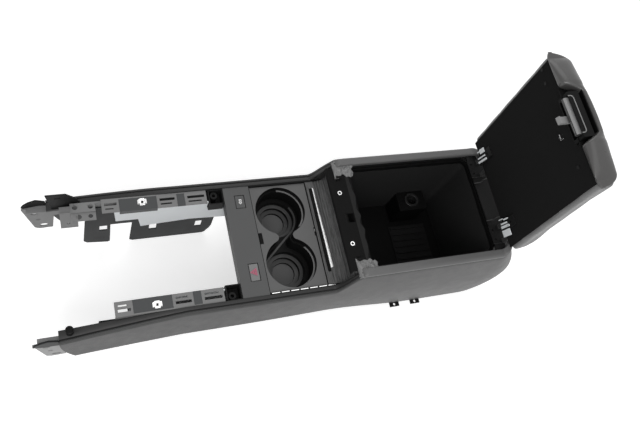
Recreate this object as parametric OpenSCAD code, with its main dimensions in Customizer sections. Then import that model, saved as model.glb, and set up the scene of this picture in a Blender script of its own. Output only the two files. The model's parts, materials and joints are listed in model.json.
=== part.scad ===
/* [Overall] */
// Height of the cup deck above the floor face
deck_h = 205; // [190:1:230]
// Half of the width across the arms and the bin sides
side_half = 123; // [118:1:128]
// Distance from the cup centres forward to the front end of the arms
arm_len = 411; // [380:1:430]
// Height of the bin rim above the deck
rim_rise = 70; // [60:1:76]
// Thickness of the leather covered side skins
skin_t = 3; // [2:0.5:4]
// How far the front ends of the arms drop
front_drop = 32; // [10:1:45]
// How far the front ends of the arms flare outwards
front_flare = 8; // [0:0.5:12]

/* [Cups] */
// Radius of each cup at its mouth
cup_r = 48; // [42:0.5:49]
// Distance between the two cup centres
cup_gap = 104; // [102:0.5:108]
// Half of the width of the neck between the cups
neck_half = 14; // [8:0.5:18]
// Depth of the cups
cup_depth = 72; // [60:1:85]
// Length of the cup insert along the console
insert_len = 112; // [108:1:118]
// Half of the width of the cup insert
insert_half = 104; // [102:0.5:104.5]

/* [Cross panel] */
// Length of the switch panel along the console
panel_len = 50; // [44:1:58]
// Width of the second switch across the console
switch_w = 26; // [20:1:30]
// Width of the hazard switch across the console
hazard_w = 33; // [26:1:38]
// Travel of the two switches
press = 2; // [1:0.25:3]

/* [Shutter] */
// Travel of the leading slat over the cups
shutter_travel = 108; // [90:1:109]
// Length of the leading slat
lead_len = 18; // [16:0.5:22]
// Pitch of the stored slats
slat_pitch = 5; // [4:0.5:8]
// Radius of the bend that the stored slats follow
bend_r = 18; // [15:1:22]

/* [Bin] */
// Distance from the cup centres to the front ledge of the bin
bin_front = 86; // [84:1:90]
// Length of the bin from its front ledge to its rear wall
bin_len = 306; // [290:1:312]
// Distance from the rear wall of the bin to the foot of the rear panel
rear_reach = 113; // [100:1:125]
// Half of the width of the bin inside its rim
bin_half = 102; // [96:0.5:104]
// Depth of the bin floor below the deck
bin_depth = 145; // [110:1:160]
// Thickness of the bin walls
bin_wall = 3; // [2:0.5:4]

/* [Lid] */
// Angle at which the lid stands open
lid_open = 86; // [60:1:95]
// Half of the width of the lid
lid_half = 124; // [120:0.5:126]
// How far the tip of the lid reaches past the front ledge
lid_over = 3; // [1:0.5:8]
// Thickness of the lid pad
lid_t = 42; // [34:1:48]
// Distance from the rear wall of the bin to the hinge axis
hinge_back = 17; // [14:0.5:20]
// Height of the hinge axis above the bin rim
hinge_rise = 18; // [16:0.5:22]
// Radius of the hinge pins
pin_r = 3; // [2:0.25:4]

/* [Hidden] */
$fn = 48;

// clearances
gap = 0.5;
slide_gap = 0.4;
bore_gap = 0.05;

// places along the console, from the cup centres
insert_front = 3.5 - insert_len / 2;
insert_rear = 3.5 + insert_len / 2;
panel_front = insert_front - panel_len;
ledge_rear = bin_front + 44;
bin_rear = bin_front + bin_len;
rear_len = bin_rear + rear_reach;
hinge_x = bin_rear + hinge_back;
lid_len = hinge_x - bin_front + lid_over;
// the origin is the centre of the floor bolts, on the floor face
origin_x = bin_rear - 102;
rail_half = side_half - 15.5;
rail_in = rail_half - 26.5;
rim_z = deck_h + rim_rise;
seam_rise = rim_rise - 8;
ledge_z = rim_z - 12;
lid_z = rim_z + 2;
hinge_z = rim_z + hinge_rise;

function ease(t) = let (c = min(max(t, 0), 1)) c * c * (3 - 2 * c);
function front_share(x) = max(0, (x + arm_len - 211) / -211);
// height of the seam at the top of the side skin
function seam_z(x) = deck_h - 2 - front_drop * pow(front_share(x), 1.35)
    + (seam_rise + 2) * ease((x - 68) / 40) + 8 * ease((x - corner_start) / 60);
// lower edge of the side skin
skin_foot = 3.5;
function foot_z(x) = skin_foot + (deck_h - 131 - skin_foot) * (1 - ease((x - 80) / 240));
// outward face of the side at a station and a height
function side_y(x, z) = let (h = z - deck_h + 60)
    side_half + front_flare * front_share(x)
    - (h > 0 ? 5 * pow(h / 122, 2) : 11 * pow(-h / (deck_h - 60), 1.6) * ease((x + 87) / 290));
// the rear face leans back towards its foot
function rear_x(z) = rear_len - 76 * pow((z - 10) / 246, 2);
rear_start = rear_len - 125;
corner_start = rear_len - 80;
function place_x(s, z) = s < rear_start ? s
    : rear_start + (s - rear_start) / (rear_len - rear_start) * (rear_x(z) - rear_start);
function corner_in(s) = s < corner_start ? 0
    : 14 * pow((s - corner_start) / (rear_len - corner_start), 2.5);

// a closed solid through sections with the same number of points
module loft(sections) {
    n = len(sections[0]);
    m = len(sections);
    points = [for (s = sections) each s];
    sides = [for (i = [0:m - 2], j = [0:n - 1]) let (k = (j + 1) % n)
        each [[i * n + j, i * n + k, (i + 1) * n + k], [i * n + j, (i + 1) * n + k, (i + 1) * n + j]]];
    caps = [for (e = [0, 1], j = [0:ceil(n / 2) - 2]) let (o = e * (m - 1) * n, a = o + j, b = o + j + 1,
        c = o + n - 2 - j, d = o + n - 1 - j)
        each (b == c ? [e == 0 ? [a, d, b] : [a, b, d]]
            : e == 0 ? [[a, d, b], [b, d, c]] : [[a, b, d], [b, c, d]])];
    polyhedron(points, concat(sides, caps), convexity = 6);
}

module block(x, y, z) {
    translate([x[0], y[0], z[0]]) cube([x[1] - x[0], y[1] - y[0], z[1] - z[0]]);
}

// a flat plate that stands along the console, drawn in x and z
module plate_xz(y0, t) {
    translate([0, y0 + t, 0]) rotate([90, 0, 0]) linear_extrude(t) children();
}

module round_rect(size, r) {
    x = size[0] / 2 - r;
    y = size[1] / 2 - r;
    hull() for (i = [-1, 1], j = [-1, 1]) translate([i * x, j * y]) circle(r, $fn = 24);
}

module mirror_y() {
    mirror([0, 1, 0]) children();
}

module placed() {
    translate([-origin_x, 0, 0]) children();
}

// side skin, far side
roll_end = rear_len - 137;
skin_stations = concat([for (i = [0:12]) -arm_len + (arm_len - 40) * i / 12],
    [for (i = [1:13]) -40 + 160 * i / 13], [for (i = [1:5]) 120 + (roll_end - 120) * i / 5],
    [for (i = [1:14]) roll_end + (rear_len - roll_end) * i / 14]);
skin_rows = 10;
function skin_point(s, v, inset) = let (z0 = foot_z(s), z1 = seam_z(s), z = z0 + (z1 - z0) * v,
    lead = 22 * pow(1 - v, 2) * pow(front_share(s), 3))
    [place_x(s, z) + lead, side_y(s, z) - corner_in(s) - inset, z];
module side_skin() {
    color("dimgray") loft([for (s = skin_stations) concat(
        [for (j = [0:skin_rows]) skin_point(s, j / skin_rows, 0)],
        [for (j = [skin_rows:-1:0]) skin_point(s, j / skin_rows, skin_t)])]);
}

// dark strip that closes the arm between its seam and the inner rail
trim_stations = concat([for (s = skin_stations) if (s < 103) s], [104]);
function trim_section(x) = let (z = seam_z(x), y = side_y(x, z), lift = 4.5)
    [[x, y, z], [x, y - 1, z + 2.6], [x, y - 4, z + lift], [x, rail_half + 1, z + lift + 0.5],
     [x, rail_half, z + lift - 0.5], [x, rail_half, z]];
module top_trim() {
    color("#333338") loft([for (x = trim_stations) trim_section(x)]);
}

// leather roll along the top of the bin side
rim_w = 16;
rim_stations = concat([104, 106, 110, 118], [for (i = [1:5]) 118 + (roll_end - 118) * i / 5],
    [for (i = [1:9]) roll_end + (rear_len - roll_end) * i / 9]);
function rim_section(s) = let (z = seam_z(s), y = side_y(s, z) - corner_in(s),
    full = (rim_z - deck_h - seam_rise) * sin(90 * min(1, (s - 100) / 14)), x = place_x(s, z))
    [[x, y, z], [x, y - 0.3, z + full * 0.5], [x, y - 1.5, z + full * 0.8], [x, y - 4.5, z + full],
     [x, y - rim_w + 1.5, z + full], [x, y - rim_w, z + full - 1.5], [x, y - rim_w, z]];
module rim_roll() {
    color("gray") loft([for (x = rim_stations) rim_section(x)]);
}

// pale wall under the inner edge of the arm rail
liner_t = 2.5;
liner_y = rail_in + 3;
module side_liner() {
    z1 = deck_h - cover_t;
    color("gainsboro") plate_xz(liner_y, liner_t)
        polygon([[-300, z1], [-296, z1 - 48], [-256, z1 - 48], [-250, z1 - 84], [-208, z1 - 78],
            [-160, z1 - 72], [panel_front + 18, z1 - 78], [panel_front + 18, z1 - box_h],
            [box_x[0] - 1, z1 - box_h], [box_x[0] - 1, z1]]);
}

// grey bracket with three window frames along the arm
rail_t = 2;
web_t = 2.5;
frame_x = [[-320, -290], [-224, -188], [-174, -134]];
module arm_bracket() {
    z1 = deck_h;
    color("darkgray") difference() {
        union() {
            for (f = frame_x) block(f, [rail_in, rail_half], [z1 - rail_t, z1]);
            block([frame_x[0][0], frame_x[2][1]], [rail_half - web_t, rail_half], [z1 - 40, z1]);
        }
        for (f = frame_x) {
            block([f[0] + 5, f[1] - 4], [rail_in + 13.5, rail_in + 18.5], [z1 - 5, z1 + 1]);
            block([f[0] + 6, f[1] - 10], [rail_in + 6, rail_in + 9], [z1 - 5, z1 + 1]);
        }
    }
}

// dark covers between the window frames
cover_t = 2.5;
module arm_cover() {
    z1 = deck_h;
    color("#4d4d52") difference() {
        union() {
            block([frame_x[0][1], frame_x[1][0]], [rail_in, rail_half - web_t], [z1 - cover_t, z1]);
            block([frame_x[0][1], frame_x[1][0]], [rail_in, rail_in + 2], [z1 - 12, z1]);
            block([frame_x[1][1], frame_x[2][0]], [rail_in, rail_half - web_t], [z1 - cover_t, z1]);
        }
        translate([clip_x, rail_half - 12, z1 - 5]) cylinder(h = 10, r = clip_hole_r);
    }
}

// bent spring clips that stand in the covers
clip_x = -250;
clip_hole_r = 3;
module spring_clip() {
    translate([clip_x, rail_half - 12, deck_h]) {
        difference() {
            translate([-8, -6.5, 0]) cube([16, 13, 1]);
            translate([0, 0, -1]) cylinder(h = 4, r = 2);
        }
        for (s = [-1, 1]) translate([s * 6 - 1, -4, 1]) cube([2, 8, 4]);
        for (s = [-1, 1]) translate([-4, s * 5 - 0.75, 1]) cube([8, 1.5, 3]);
        for (s = [-1, 1]) translate([s * (clip_hole_r - 1.3) - 0.5, -1.5, -7]) cube([1, 3, 7]);
    }
}
module spring_clips() {
    color("silver") {
        spring_clip();
        mirror_y() spring_clip();
    }
}

// dark sheet with two flaps under the arm
flap_t = 2.5;
flap_y = rail_half - web_t - flap_t;
module closeout() {
    z1 = deck_h - cover_t;
    color("#46464b") difference() {
        plate_xz(flap_y, flap_t) polygon([[-346, z1 - 22], [-352, 22], [-346, 13], [-306, 6],
            [-302, 10], [-302, 96], [-262, 96], [-264, 5], [-258, 0], [-170, 0], [-116, 0], [-110, 4],
            [-107, 14], [-103, 24], [panel_front + 2, 36], [panel_front + 2, z1 - box_h], [box_x[0] - 1, z1 - box_h],
            [box_x[0] - 1, z1], [-288, z1], [-290, z1 - 22]]);
        block([-322, -308], [flap_y - 1, flap_y + flap_t + 1], [70, 92]);
        block([-228, -214], [flap_y - 1, flap_y + flap_t + 1], [50, 76]);
        block([-136, -123], [flap_y - 1, flap_y + flap_t + 1], [40, 68]);
    }
}

// front mounting plate with slots, and the curved nose outside it
nose_t = 3.5;
nose_y = side_half + 0.87 * front_flare - skin_t - nose_t;
front_t = 3;
nose_tip = -arm_len - 42;
bolt_x = nose_tip + 34;
bolt_z = deck_h - 121;
bolt_r = 6;
bolt_slot = 15;
module slot_cut(x, z, len, r, y0, t) {
    for (s = [-1, 1]) translate([x + s * (len / 2 - r), y0 - 1, z]) rotate([-90, 0, 0])
        cylinder(h = t + 2, r = r);
    block([x - len / 2 + r, x + len / 2 - r], [y0 - 1, y0 + t + 1], [z - r, z + r]);
}
module front_bracket() {
    y0 = nose_y - front_t;
    color("darkgray") difference() {
        union() {
            plate_xz(y0, front_t) polygon([[nose_tip, deck_h - 46], [nose_tip + 3, deck_h - 60],
                [nose_tip + 17, deck_h - 130], [nose_tip + 25, deck_h - 136],
                [nose_tip + 49, deck_h - 134], [nose_tip + 53, deck_h - 80],
                [-arm_len + 44, deck_h - 70], [-arm_len + 44, deck_h - 42], [nose_tip + 30, deck_h - 38]]);
            block([nose_tip + 8, -arm_len + 40], [y0 - 8, y0], [deck_h - 46, deck_h - 43]);
        }
        slot_cut(bolt_x, bolt_z, bolt_slot, bolt_r, y0, front_t);
        slot_cut(nose_tip + 20.5, deck_h - 66, 12, 5.5, y0, front_t);
        slot_cut(nose_tip + 25.5, deck_h - 94, 8, 3, y0, front_t);
    }
}
module front_nose() {
    z1 = seam_z(-arm_len) - 0.3;
    color("#3c3c40") plate_xz(nose_y, nose_t) polygon([[nose_tip, deck_h - 45],
        [nose_tip + 4, deck_h - 36], [nose_tip + 13, deck_h - 26], [nose_tip + 26, deck_h - 19],
        [nose_tip + 36, deck_h - 24], [-arm_len - 0.5, deck_h - 27], [-arm_len - 0.5, z1],
        [-arm_len + 24, z1], [-arm_len + 24, z1 - 18], [nose_tip + 12, deck_h - 50]]);
}

// drilled bracket for the wiring at the front of the far arm
module harness_bracket() {
    z1 = deck_h - 6;
    y1 = rail_half;
    x1 = -arm_len;
    color("darkgray") difference() {
        union() {
            block([x1 + 39, x1 + 81], [y1 - 16, y1], [z1 - 2, z1]);
            block([x1 + 39, x1 + 81], [y1 - 33, y1 - 18], [z1 - 5, z1 - 3]);
            block([x1 + 39, x1 + 81], [y1 - 18, y1 - 16], [z1 - 5, z1]);
            block([x1 + 21, x1 + 41], [y1 - 16, y1 - 4], [z1 - 4, z1 - 2]);
            block([x1 + 21, x1 + 51], [y1 - 18, y1 - 16], [z1 - 66, z1]);
            block([x1 + 39, frame_x[0][0]], [y1 - web_t, y1], [z1 - 34, z1]);
        }
        for (h = [[x1 + 47, y1 - 8, 4.5], [x1 + 73, y1 - 8, 4.5], [x1 + 52, y1 - 25, 5], [x1 + 72, y1 - 25, 4]])
            translate([h[0], h[1], z1 - 10]) cylinder(h = 12, r = h[2]);
        translate([x1 + 35, y1 - 20, z1 - 46]) rotate([-90, 0, 0]) cylinder(h = 6, r = 2.5);
    }
}

// upright tab with a slot on the far arm
module upper_tab() {
    y0 = rail_half + 3;
    x1 = -arm_len;
    color("#2f2f33") difference() {
        plate_xz(y0, 2.5) polygon([[x1 + 9, seam_z(x1 + 9) + 5.2], [x1 + 1, deck_h + 26], [x1 + 34, deck_h + 26],
            [x1 + 51, deck_h + 6], [x1 + 59, seam_z(x1 + 59) + 5.2]]);
        slot_cut(x1 + 20, deck_h + 13, 11, 2, y0, 2.5);
    }
}

// push pin on the near arm
pin_seat_x = -arm_len + 18;
module push_pin() {
    z0 = max(seam_z(pin_seat_x - 6), seam_z(pin_seat_x + 6)) + 5.1;
    color("#18181a") translate([pin_seat_x, -(side_half - 8), z0]) rotate_extrude()
        polygon([[0, 0], [6, 0], [6, 2], [3.6, 3], [3.6, 17], [6.6, 18], [6.6, 20.5], [4, 22], [0, 22]]);
}

// open pocket with a screw boss, beside the cross panel
box_x = [panel_front - 28, panel_front];
box_h = 26;
boss_r = 7;
module corner_box() {
    z1 = deck_h - 1;
    color("#2a2a2d") difference() {
        union() {
            difference() {
                block(box_x, [rail_in - 3, rail_half], [z1 - box_h, z1]);
                block([box_x[0] + 2, box_x[1] - 2], [rail_in - 1, rail_half - 2], [z1 - box_h + 2, z1 + 1]);
            }
            translate([box_x[0] + 11, rail_half - 10, z1 - box_h + 1]) cylinder(h = box_h - 6, r = boss_r);
        }
        translate([box_x[0] + 11, rail_half - 10, z1 - 16]) cylinder(h = 20, r = 3);
    }
}

// cross panel with the two switches
panel_t = 3;
hazard_c = [panel_front + panel_len * 0.58, -62];
second_c = [panel_front + panel_len * 0.57, 77];
switch_l = 18;
module switch_panel() {
    z1 = deck_h + 1;
    color("#5a5a5e") difference() {
        union() {
            block([panel_front, insert_front - gap], [-rail_half, rail_half], [z1 - panel_t, z1]);
            block([panel_front, panel_front + 3], [-rail_half + 3, rail_half - 3], [z1 - 22, z1]);
        }
        translate([hazard_c[0], hazard_c[1], z1 - 5])
            linear_extrude(10) square([switch_l + 2 * gap, hazard_w + 2 * gap], center = true);
        translate([second_c[0], second_c[1], z1 - 5])
            linear_extrude(10) square([switch_l + 2 * gap, switch_w + 2 * gap], center = true);
    }
}
module switch_housing(c, w) {
    translate([c[0], c[1], deck_h - 2 - 26]) difference() {
        linear_extrude(26) square([switch_l + 5, w + 5], center = true);
        translate([0, 0, 14]) linear_extrude(20) square([switch_l + 2 * gap, w + 2 * gap], center = true);
    }
}
module switch_housings() {
    color("#202022") {
        switch_housing(hazard_c, hazard_w);
        switch_housing(second_c, switch_w);
    }
}
module switch_button(c, w) {
    translate([c[0], c[1], deck_h - 2 - 12 + press + 1]) {
        linear_extrude(12 - press) square([switch_l, w], center = true);
        translate([0, 0, 12 - press]) linear_extrude(2) square([switch_l - 1.5, w - 1.5], center = true);
    }
}
module hazard_switch() {
    color("#77777b") switch_button(hazard_c, hazard_w);
}
module second_switch() {
    color("#505054") switch_button(second_c, switch_w);
}

// carrier under the insert, between the rails
deck_t = 4;
flange_t = 3;
insert_z = deck_h - 1.5;
module deck_frame() {
    z1 = insert_z - flange_t;
    color("#1e1e20") difference() {
        union() {
            block([panel_front + 3, bin_front + 24], [-rail_half, rail_half], [z1 - deck_t, z1]);
            for (s = [0, 1]) mirror([0, s, 0])
                block([panel_front + 3, bin_front + 20], [rail_half - 3, rail_half], [z1 - 60, z1]);
        }
        block([insert_front + 2.5, insert_rear - 3], [-insert_half + 2.5, insert_half - 2.5],
            [z1 - deck_t - 1, z1 + 1]);
        for (c = [[hazard_c, hazard_w], [second_c, switch_w]]) translate([c[0][0], c[0][1], z1 - 20])
            linear_extrude(40) square([switch_l + 5 + 2 * gap, c[1] + 5 + 2 * gap], center = true);
    }
}

// outline of the twin well: two circles joined by a neck with rounded shoulders
module well_outline(r, neck) {
    c = cup_gap / 2;
    fillet = (neck * neck + c * c - r * r) / (2 * (r - neck));
    x = neck + fillet;
    turn = atan2(c, x);
    arc = [for (i = [0:60]) -turn + (180 + 2 * turn) * i / 60];
    bend = [for (i = [1:11]) turn - 2 * turn * i / 12];
    polygon(concat([for (a = arc) [r * cos(a), c + r * sin(a)]],
        [for (a = bend) [-x + fillet * cos(a), fillet * sin(a)]],
        [for (a = arc) [-r * cos(a), -c - r * sin(a)]],
        [for (a = bend) [x - fillet * cos(a), -fillet * sin(a)]]));
}
well_wall = 2.5;
lip_depth = 13;
step_depth = 46;
module cup_insert() {
    z1 = insert_z;
    color("#646468") difference() {
        union() {
            block([insert_front, insert_rear], [-insert_half, insert_half], [z1 - flange_t, z1]);
            translate([0, 0, z1 - step_depth - well_wall]) linear_extrude(step_depth + well_wall)
                well_outline(cup_r + well_wall - 1.5, neck_half + well_wall - 1.5);
            for (s = [-1, 1]) translate([0, s * cup_gap / 2, z1 - cup_depth - well_wall])
                cylinder(h = cup_depth, r = cup_r - 7);
        }
        translate([0, 0, z1 - lip_depth]) linear_extrude(lip_depth + 1) well_outline(cup_r, neck_half);
        translate([0, 0, z1 - step_depth]) linear_extrude(step_depth + 1)
            well_outline(cup_r - 3, neck_half - 3);
        for (s = [-1, 1]) translate([0, s * cup_gap / 2, z1 - cup_depth]) {
            cylinder(h = cup_depth + 1, r = cup_r - 26);
            translate([0, 0, 6]) cylinder(h = cup_depth, r = cup_r - 18);
            translate([0, 0, 14]) cylinder(h = cup_depth, r = cup_r - 11);
        }
        block([insert_front - 1, insert_front + 8], [-10, 12], [z1 - 2.2, z1 + 1]);
    }
}
module release_tab() {
    z1 = insert_z;
    color("#1c1c1e") {
        block([insert_front + 0.3, insert_front + 7.7], [-9.7, 11.7], [z1 - 2.2, z1 - 1.2]);
        block([insert_front + 2, insert_front + 5], [-7, 9], [z1 - 1.2, z1 - 0.1]);
    }
}

// tracks that carry the ends of the leading slat
track_in = insert_half + gap;
lead_z = insert_z + slide_gap;
lead_t = 2.4;
track_lip = 1;
module track() {
    color("#18181a") difference() {
        block([insert_front, bin_front + 20], [track_in, rail_half],
            [insert_z - flange_t, lead_z + lead_t + slide_gap + track_lip]);
        block([insert_front + 2, bin_front + 21], [track_in - 1, rail_half - 1],
            [lead_z - slide_gap, lead_z + lead_t + slide_gap]);
    }
}
strip_len = 15;
module track_strip() {
    color("silver") for (i = [0:6])
        block([insert_front + 2.5 + i * 18, insert_front + 2.5 + i * 18 + strip_len],
            [-rail_half + 0.7, -rail_half + 2.2],
            [lead_z + lead_t + slide_gap + track_lip, lead_z + lead_t + slide_gap + track_lip + 0.5]);
}

// leading slat with its finger slot, and the bright bar on it
lead_half = rail_half - 1.6;
slat_half = track_in - 0.3;
module shutter_lead() {
    x0 = insert_rear + gap;
    color("#6a6a6a") difference() {
        block([x0, x0 + lead_len], [-lead_half, lead_half], [lead_z, lead_z + lead_t]);
        block([x0 + 5.5, x0 + 11], [-80, 90], [lead_z + 0.7, lead_z + lead_t + 1]);
    }
}
module shutter_handle() {
    x0 = insert_rear + gap;
    color("silver") translate([x0, 0, lead_z + lead_t]) linear_extrude(2.5)
        polygon([[11.2, 90], [11.2, -72], [16.6, -72], [13.4, 90]]);
}

// stored slats: flat at first, then up around a bend to the ledge
curtain_x = insert_rear + 2 * gap + lead_len;
curtain_t = 3;
bend_x = bin_front + 11 - bend_r;
flat_n = max(0, floor((bend_x - curtain_x) / slat_pitch));
function curtain_point(s, h) = let (flat = max(0, bend_x - curtain_x), over = s - flat,
    a = min(90, max(0, over / bend_r * 180 / PI)), rise = max(0, over - bend_r * PI / 2))
    over <= 0 ? [curtain_x + s, lead_z + lead_t + h]
    : [max(bend_x, curtain_x) + (bend_r - h) * sin(a),
        lead_z + lead_t + bend_r - (bend_r - h) * cos(a) + rise];
curtain_len = max(0, bend_x - curtain_x) + bend_r * PI / 2
    + max(0, ledge_z - 3 - lead_z - lead_t - bend_r) - 1;
slat_n = floor(curtain_len / slat_pitch);
module shutter_curtain() {
    top = [for (i = [0:slat_n - 1]) each [curtain_point(i * slat_pitch, 0),
        curtain_point(i * slat_pitch + 0.35 * slat_pitch, 0.8),
        curtain_point(i * slat_pitch + 0.75 * slat_pitch, 0.6)]];
    back = [for (i = [slat_n:-1:0]) curtain_point(i * slat_pitch, -curtain_t)];
    color("#5c5c5c") plate_xz(-slat_half, 2 * slat_half) polygon(concat(top, back));
}

// storage bin with a raised seat for the outlet
bin_floor = deck_h - bin_depth;
tub_x = [bin_front + 36, bin_rear];
seat_x = [tub_x[1] - 104, tub_x[1] - 40];
seat_h = 64;
module tub_outline(inset) {
    translate([(tub_x[0] + tub_x[1]) / 2, 0])
        round_rect([tub_x[1] - tub_x[0] - 2 * inset, 2 * (bin_half - 2 - inset)], 14 - inset);
}
outlet_x = (seat_x[0] + seat_x[1]) / 2;
outlet_y = bin_half - 26;
outlet_r = 13;
module storage_bin() {
    z1 = ledge_z - 3;
    color("#161617") difference() {
        union() {
            difference() {
                translate([0, 0, bin_floor - bin_wall])
                    linear_extrude(z1 - bin_floor + bin_wall) tub_outline(0);
                translate([0, 0, bin_floor]) linear_extrude(z1 - bin_floor + 1) tub_outline(bin_wall);
            }
            block(seat_x, [outlet_y - 22, bin_half - 4], [bin_floor - 1, bin_floor + seat_h]);
            for (s = [0, 1]) mirror([0, s, 0]) block([tub_x[0] + 14, tub_x[1] - 14],
                [bin_half - 3, bin_half], [z1 - 14, deck_h + seam_rise - 0.2]);
        }
        block([seat_x[0] + 3, seat_x[1] - 3], [outlet_y - 19, bin_half - 7],
            [bin_floor - 2, bin_floor + seat_h - 3]);
        translate([outlet_x, outlet_y, bin_floor + seat_h - 5]) cylinder(h = 8, r = outlet_r + 0.3);
    }
}
liner_thick = 2;
module bin_liner() {
    z1 = ledge_z - 10;
    inset = bin_wall + 0.2;
    color("#111112") difference() {
        translate([0, 0, bin_floor + 0.2]) linear_extrude(z1 - bin_floor) tub_outline(inset);
        translate([0, 0, bin_floor + 0.2 + liner_thick]) linear_extrude(z1) tub_outline(inset + liner_thick);
        block([seat_x[0] - 0.3, seat_x[1] + 0.3], [outlet_y - 22.3, bin_half],
            [bin_floor - 1, bin_floor + seat_h + 0.3]);
    }
}
mat_z = bin_floor + 0.2 + liner_thick;
module bin_mat() {
    mat = [seat_x[0] - 8, seat_x[1] + 14];
    color("#1b1b1c") {
        block(mat, [-56, 42], [mat_z, mat_z + 1.5]);
        for (i = [0:6])
            block([mat[0] + 3, mat[1] - 3], [-50 + i * 14, -46 + i * 14], [mat_z + 1.4, mat_z + 5]);
    }
}
module power_outlet() {
    z1 = bin_floor + seat_h;
    color("#26262a") translate([outlet_x, outlet_y, 0]) {
        difference() {
            union() {
                translate([0, 0, z1]) cylinder(h = 4, r = outlet_r + 3);
                translate([0, 0, z1 - 38]) cylinder(h = 38, r = outlet_r);
            }
            translate([0, 0, z1 - 35]) cylinder(h = 50, r = outlet_r - 2.5);
        }
    }
}

// front ledge that the lid closes on
latch_x = hinge_x - lid_len + 26;
ledge_t = 3;
screw_y = 50.6;
screw_x = bin_front + 15;
module bin_ledge() {
    color("#1d1d1f") difference() {
        union() {
            block([bin_front, ledge_rear], [-bin_half + gap, bin_half - gap], [ledge_z - ledge_t, ledge_z]);
            block([bin_front, bin_front + 2], [-slat_half, slat_half], [ledge_z - 9, ledge_z]);
            block([tub_x[0] - 3, tub_x[0] - 0.2], [-slat_half, slat_half], [ledge_z - 30, ledge_z]);
        }
        block([latch_x - 8, latch_x + 9.5], [-9, 9], [ledge_z - 8, ledge_z + 1]);
        for (s = [-1, 1])
            block([screw_x - 3, screw_x + 7], [s * 80 - 4, s * 80 + 4], [ledge_z - 8, ledge_z + 1]);
        translate([ledge_rear - 5, -16, ledge_z - 8]) cylinder(h = 12, r = 3);
        for (s = [-1, 1]) translate([screw_x, s * screw_y, ledge_z - 8]) cylinder(h = 12, r = 1.6);
    }
}
module ledge_screws() {
    color("silver") for (s = [-1, 1]) translate([screw_x, s * screw_y, ledge_z]) difference() {
        union() {
            cylinder(h = 2, r = 4.2);
            translate([0, 0, -ledge_t]) cylinder(h = ledge_t + 1, r = 1.5);
        }
        translate([0, 0, 0.8]) cylinder(h = 3, r = 2.3);
    }
}

// deck behind the bin, which carries the hinges
leaf_z = rim_z - 6;
hinge_y = [53, 89];
module hinge_deck() {
    color("#19191b") {
        block([tub_x[1] - 4, hinge_x + 2], [-bin_half + gap, bin_half - gap], [leaf_z - 4, leaf_z]);
        block([hinge_x + 1, hinge_x + 14], [-bin_half + 16, bin_half - 16], [leaf_z - 4, leaf_z]);
        block([tub_x[1] + 0.2, tub_x[1] + 4], [-bin_half + 12, bin_half - 12], [leaf_z - 60, leaf_z - 4]);
    }
}
knuckle_r = 6;
module knuckle(y0, y1) {
    translate([hinge_x, y0, hinge_z]) rotate([-90, 0, 0]) cylinder(h = y1 - y0, r = knuckle_r);
}
module pin_hole(y0, y1) {
    translate([hinge_x, y0 - 1, hinge_z]) rotate([-90, 0, 0]) cylinder(h = y1 - y0 + 2, r = pin_r + bore_gap);
}
knuckle_w = 8;
module hinge_leaf() {
    y = hinge_y;
    color("gainsboro") difference() {
        union() {
            block([hinge_x - 24, hinge_x + 8], y, [leaf_z, leaf_z + 2.5]);
            for (k = [[y[0], y[0] + knuckle_w], [y[1] - knuckle_w, y[1]]]) {
                knuckle(k[0], k[1]);
                block([hinge_x - 4.5, hinge_x + 4.5], k, [leaf_z + 2, hinge_z]);
            }
        }
        pin_hole(y[0], y[1]);
        for (i = [0, 1]) translate([hinge_x - 17, y[0] + 8 + 20 * i, leaf_z - 1]) cylinder(h = 6, r = 2.2);
    }
}
module hinge_pins() {
    color("silver") for (s = [0, 1]) mirror([0, s, 0]) translate([hinge_x, hinge_y[0] - 1.5, hinge_z])
        rotate([-90, 0, 0]) {
            cylinder(h = hinge_y[1] - hinge_y[0] + 3, r = pin_r);
            translate([0, 0, hinge_y[1] - hinge_y[0] + 1.9]) cylinder(h = 1.6, r = pin_r + 1.6);
        }
}
// torsion springs beside the hinges, each with a leg on the deck
wire_r = 1.2;
spring_turns = 4;
module hinge_spring() {
    turn = 2 * wire_r;
    r = knuckle_r + wire_r - 0.5;
    y1 = hinge_y[0] - 2.6;
    translate([hinge_x, y1, hinge_z]) rotate([90, 0, 0]) rotate_extrude() polygon(concat([[0, 0]],
        [for (i = [0:spring_turns - 1]) each [[r - 1, turn * i], [r - 0.25, turn * (i + 0.2)],
            [r, turn * (i + 0.5)], [r - 0.25, turn * (i + 0.8)]]],
        [[r - 1, turn * spring_turns], [0, turn * spring_turns]]));
    y2 = y1 - turn * (spring_turns - 0.5);
    block([hinge_x - knuckle_r - 0.5, hinge_x - knuckle_r + wire_r], [y2 - wire_r, y2 + wire_r],
        [leaf_z, hinge_z]);
    block([hinge_x - 38, hinge_x - knuckle_r], [y2 - wire_r, y2 + wire_r], [leaf_z, leaf_z + 2 * wire_r]);
}
module hinge_springs() {
    color("silver") for (s = [0, 1]) mirror([0, s, 0]) hinge_spring();
}

// rear panel between the side skins
function rear_edge(z) = side_y(rear_len, z) - corner_in(rear_len) - skin_t - 0.2;
module rear_panel() {
    rows = 9;
    z1 = leaf_z - 4.5;
    color("#3f3f43") loft([for (i = [0:10]) let (u = -1 + i / 5, crown = 7 * (1 - u * u))
        concat([for (j = [0:rows]) let (z = 4 + (z1 - 4) * j / rows)
                [rear_x(z) - skin_t - 2 + crown, u * rear_edge(z), z]],
            [for (j = [rows:-1:0]) let (z = 4 + (z1 - 4) * j / rows)
                [rear_x(z) + crown - 2, u * rear_edge(z), z]])]);
}

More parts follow.
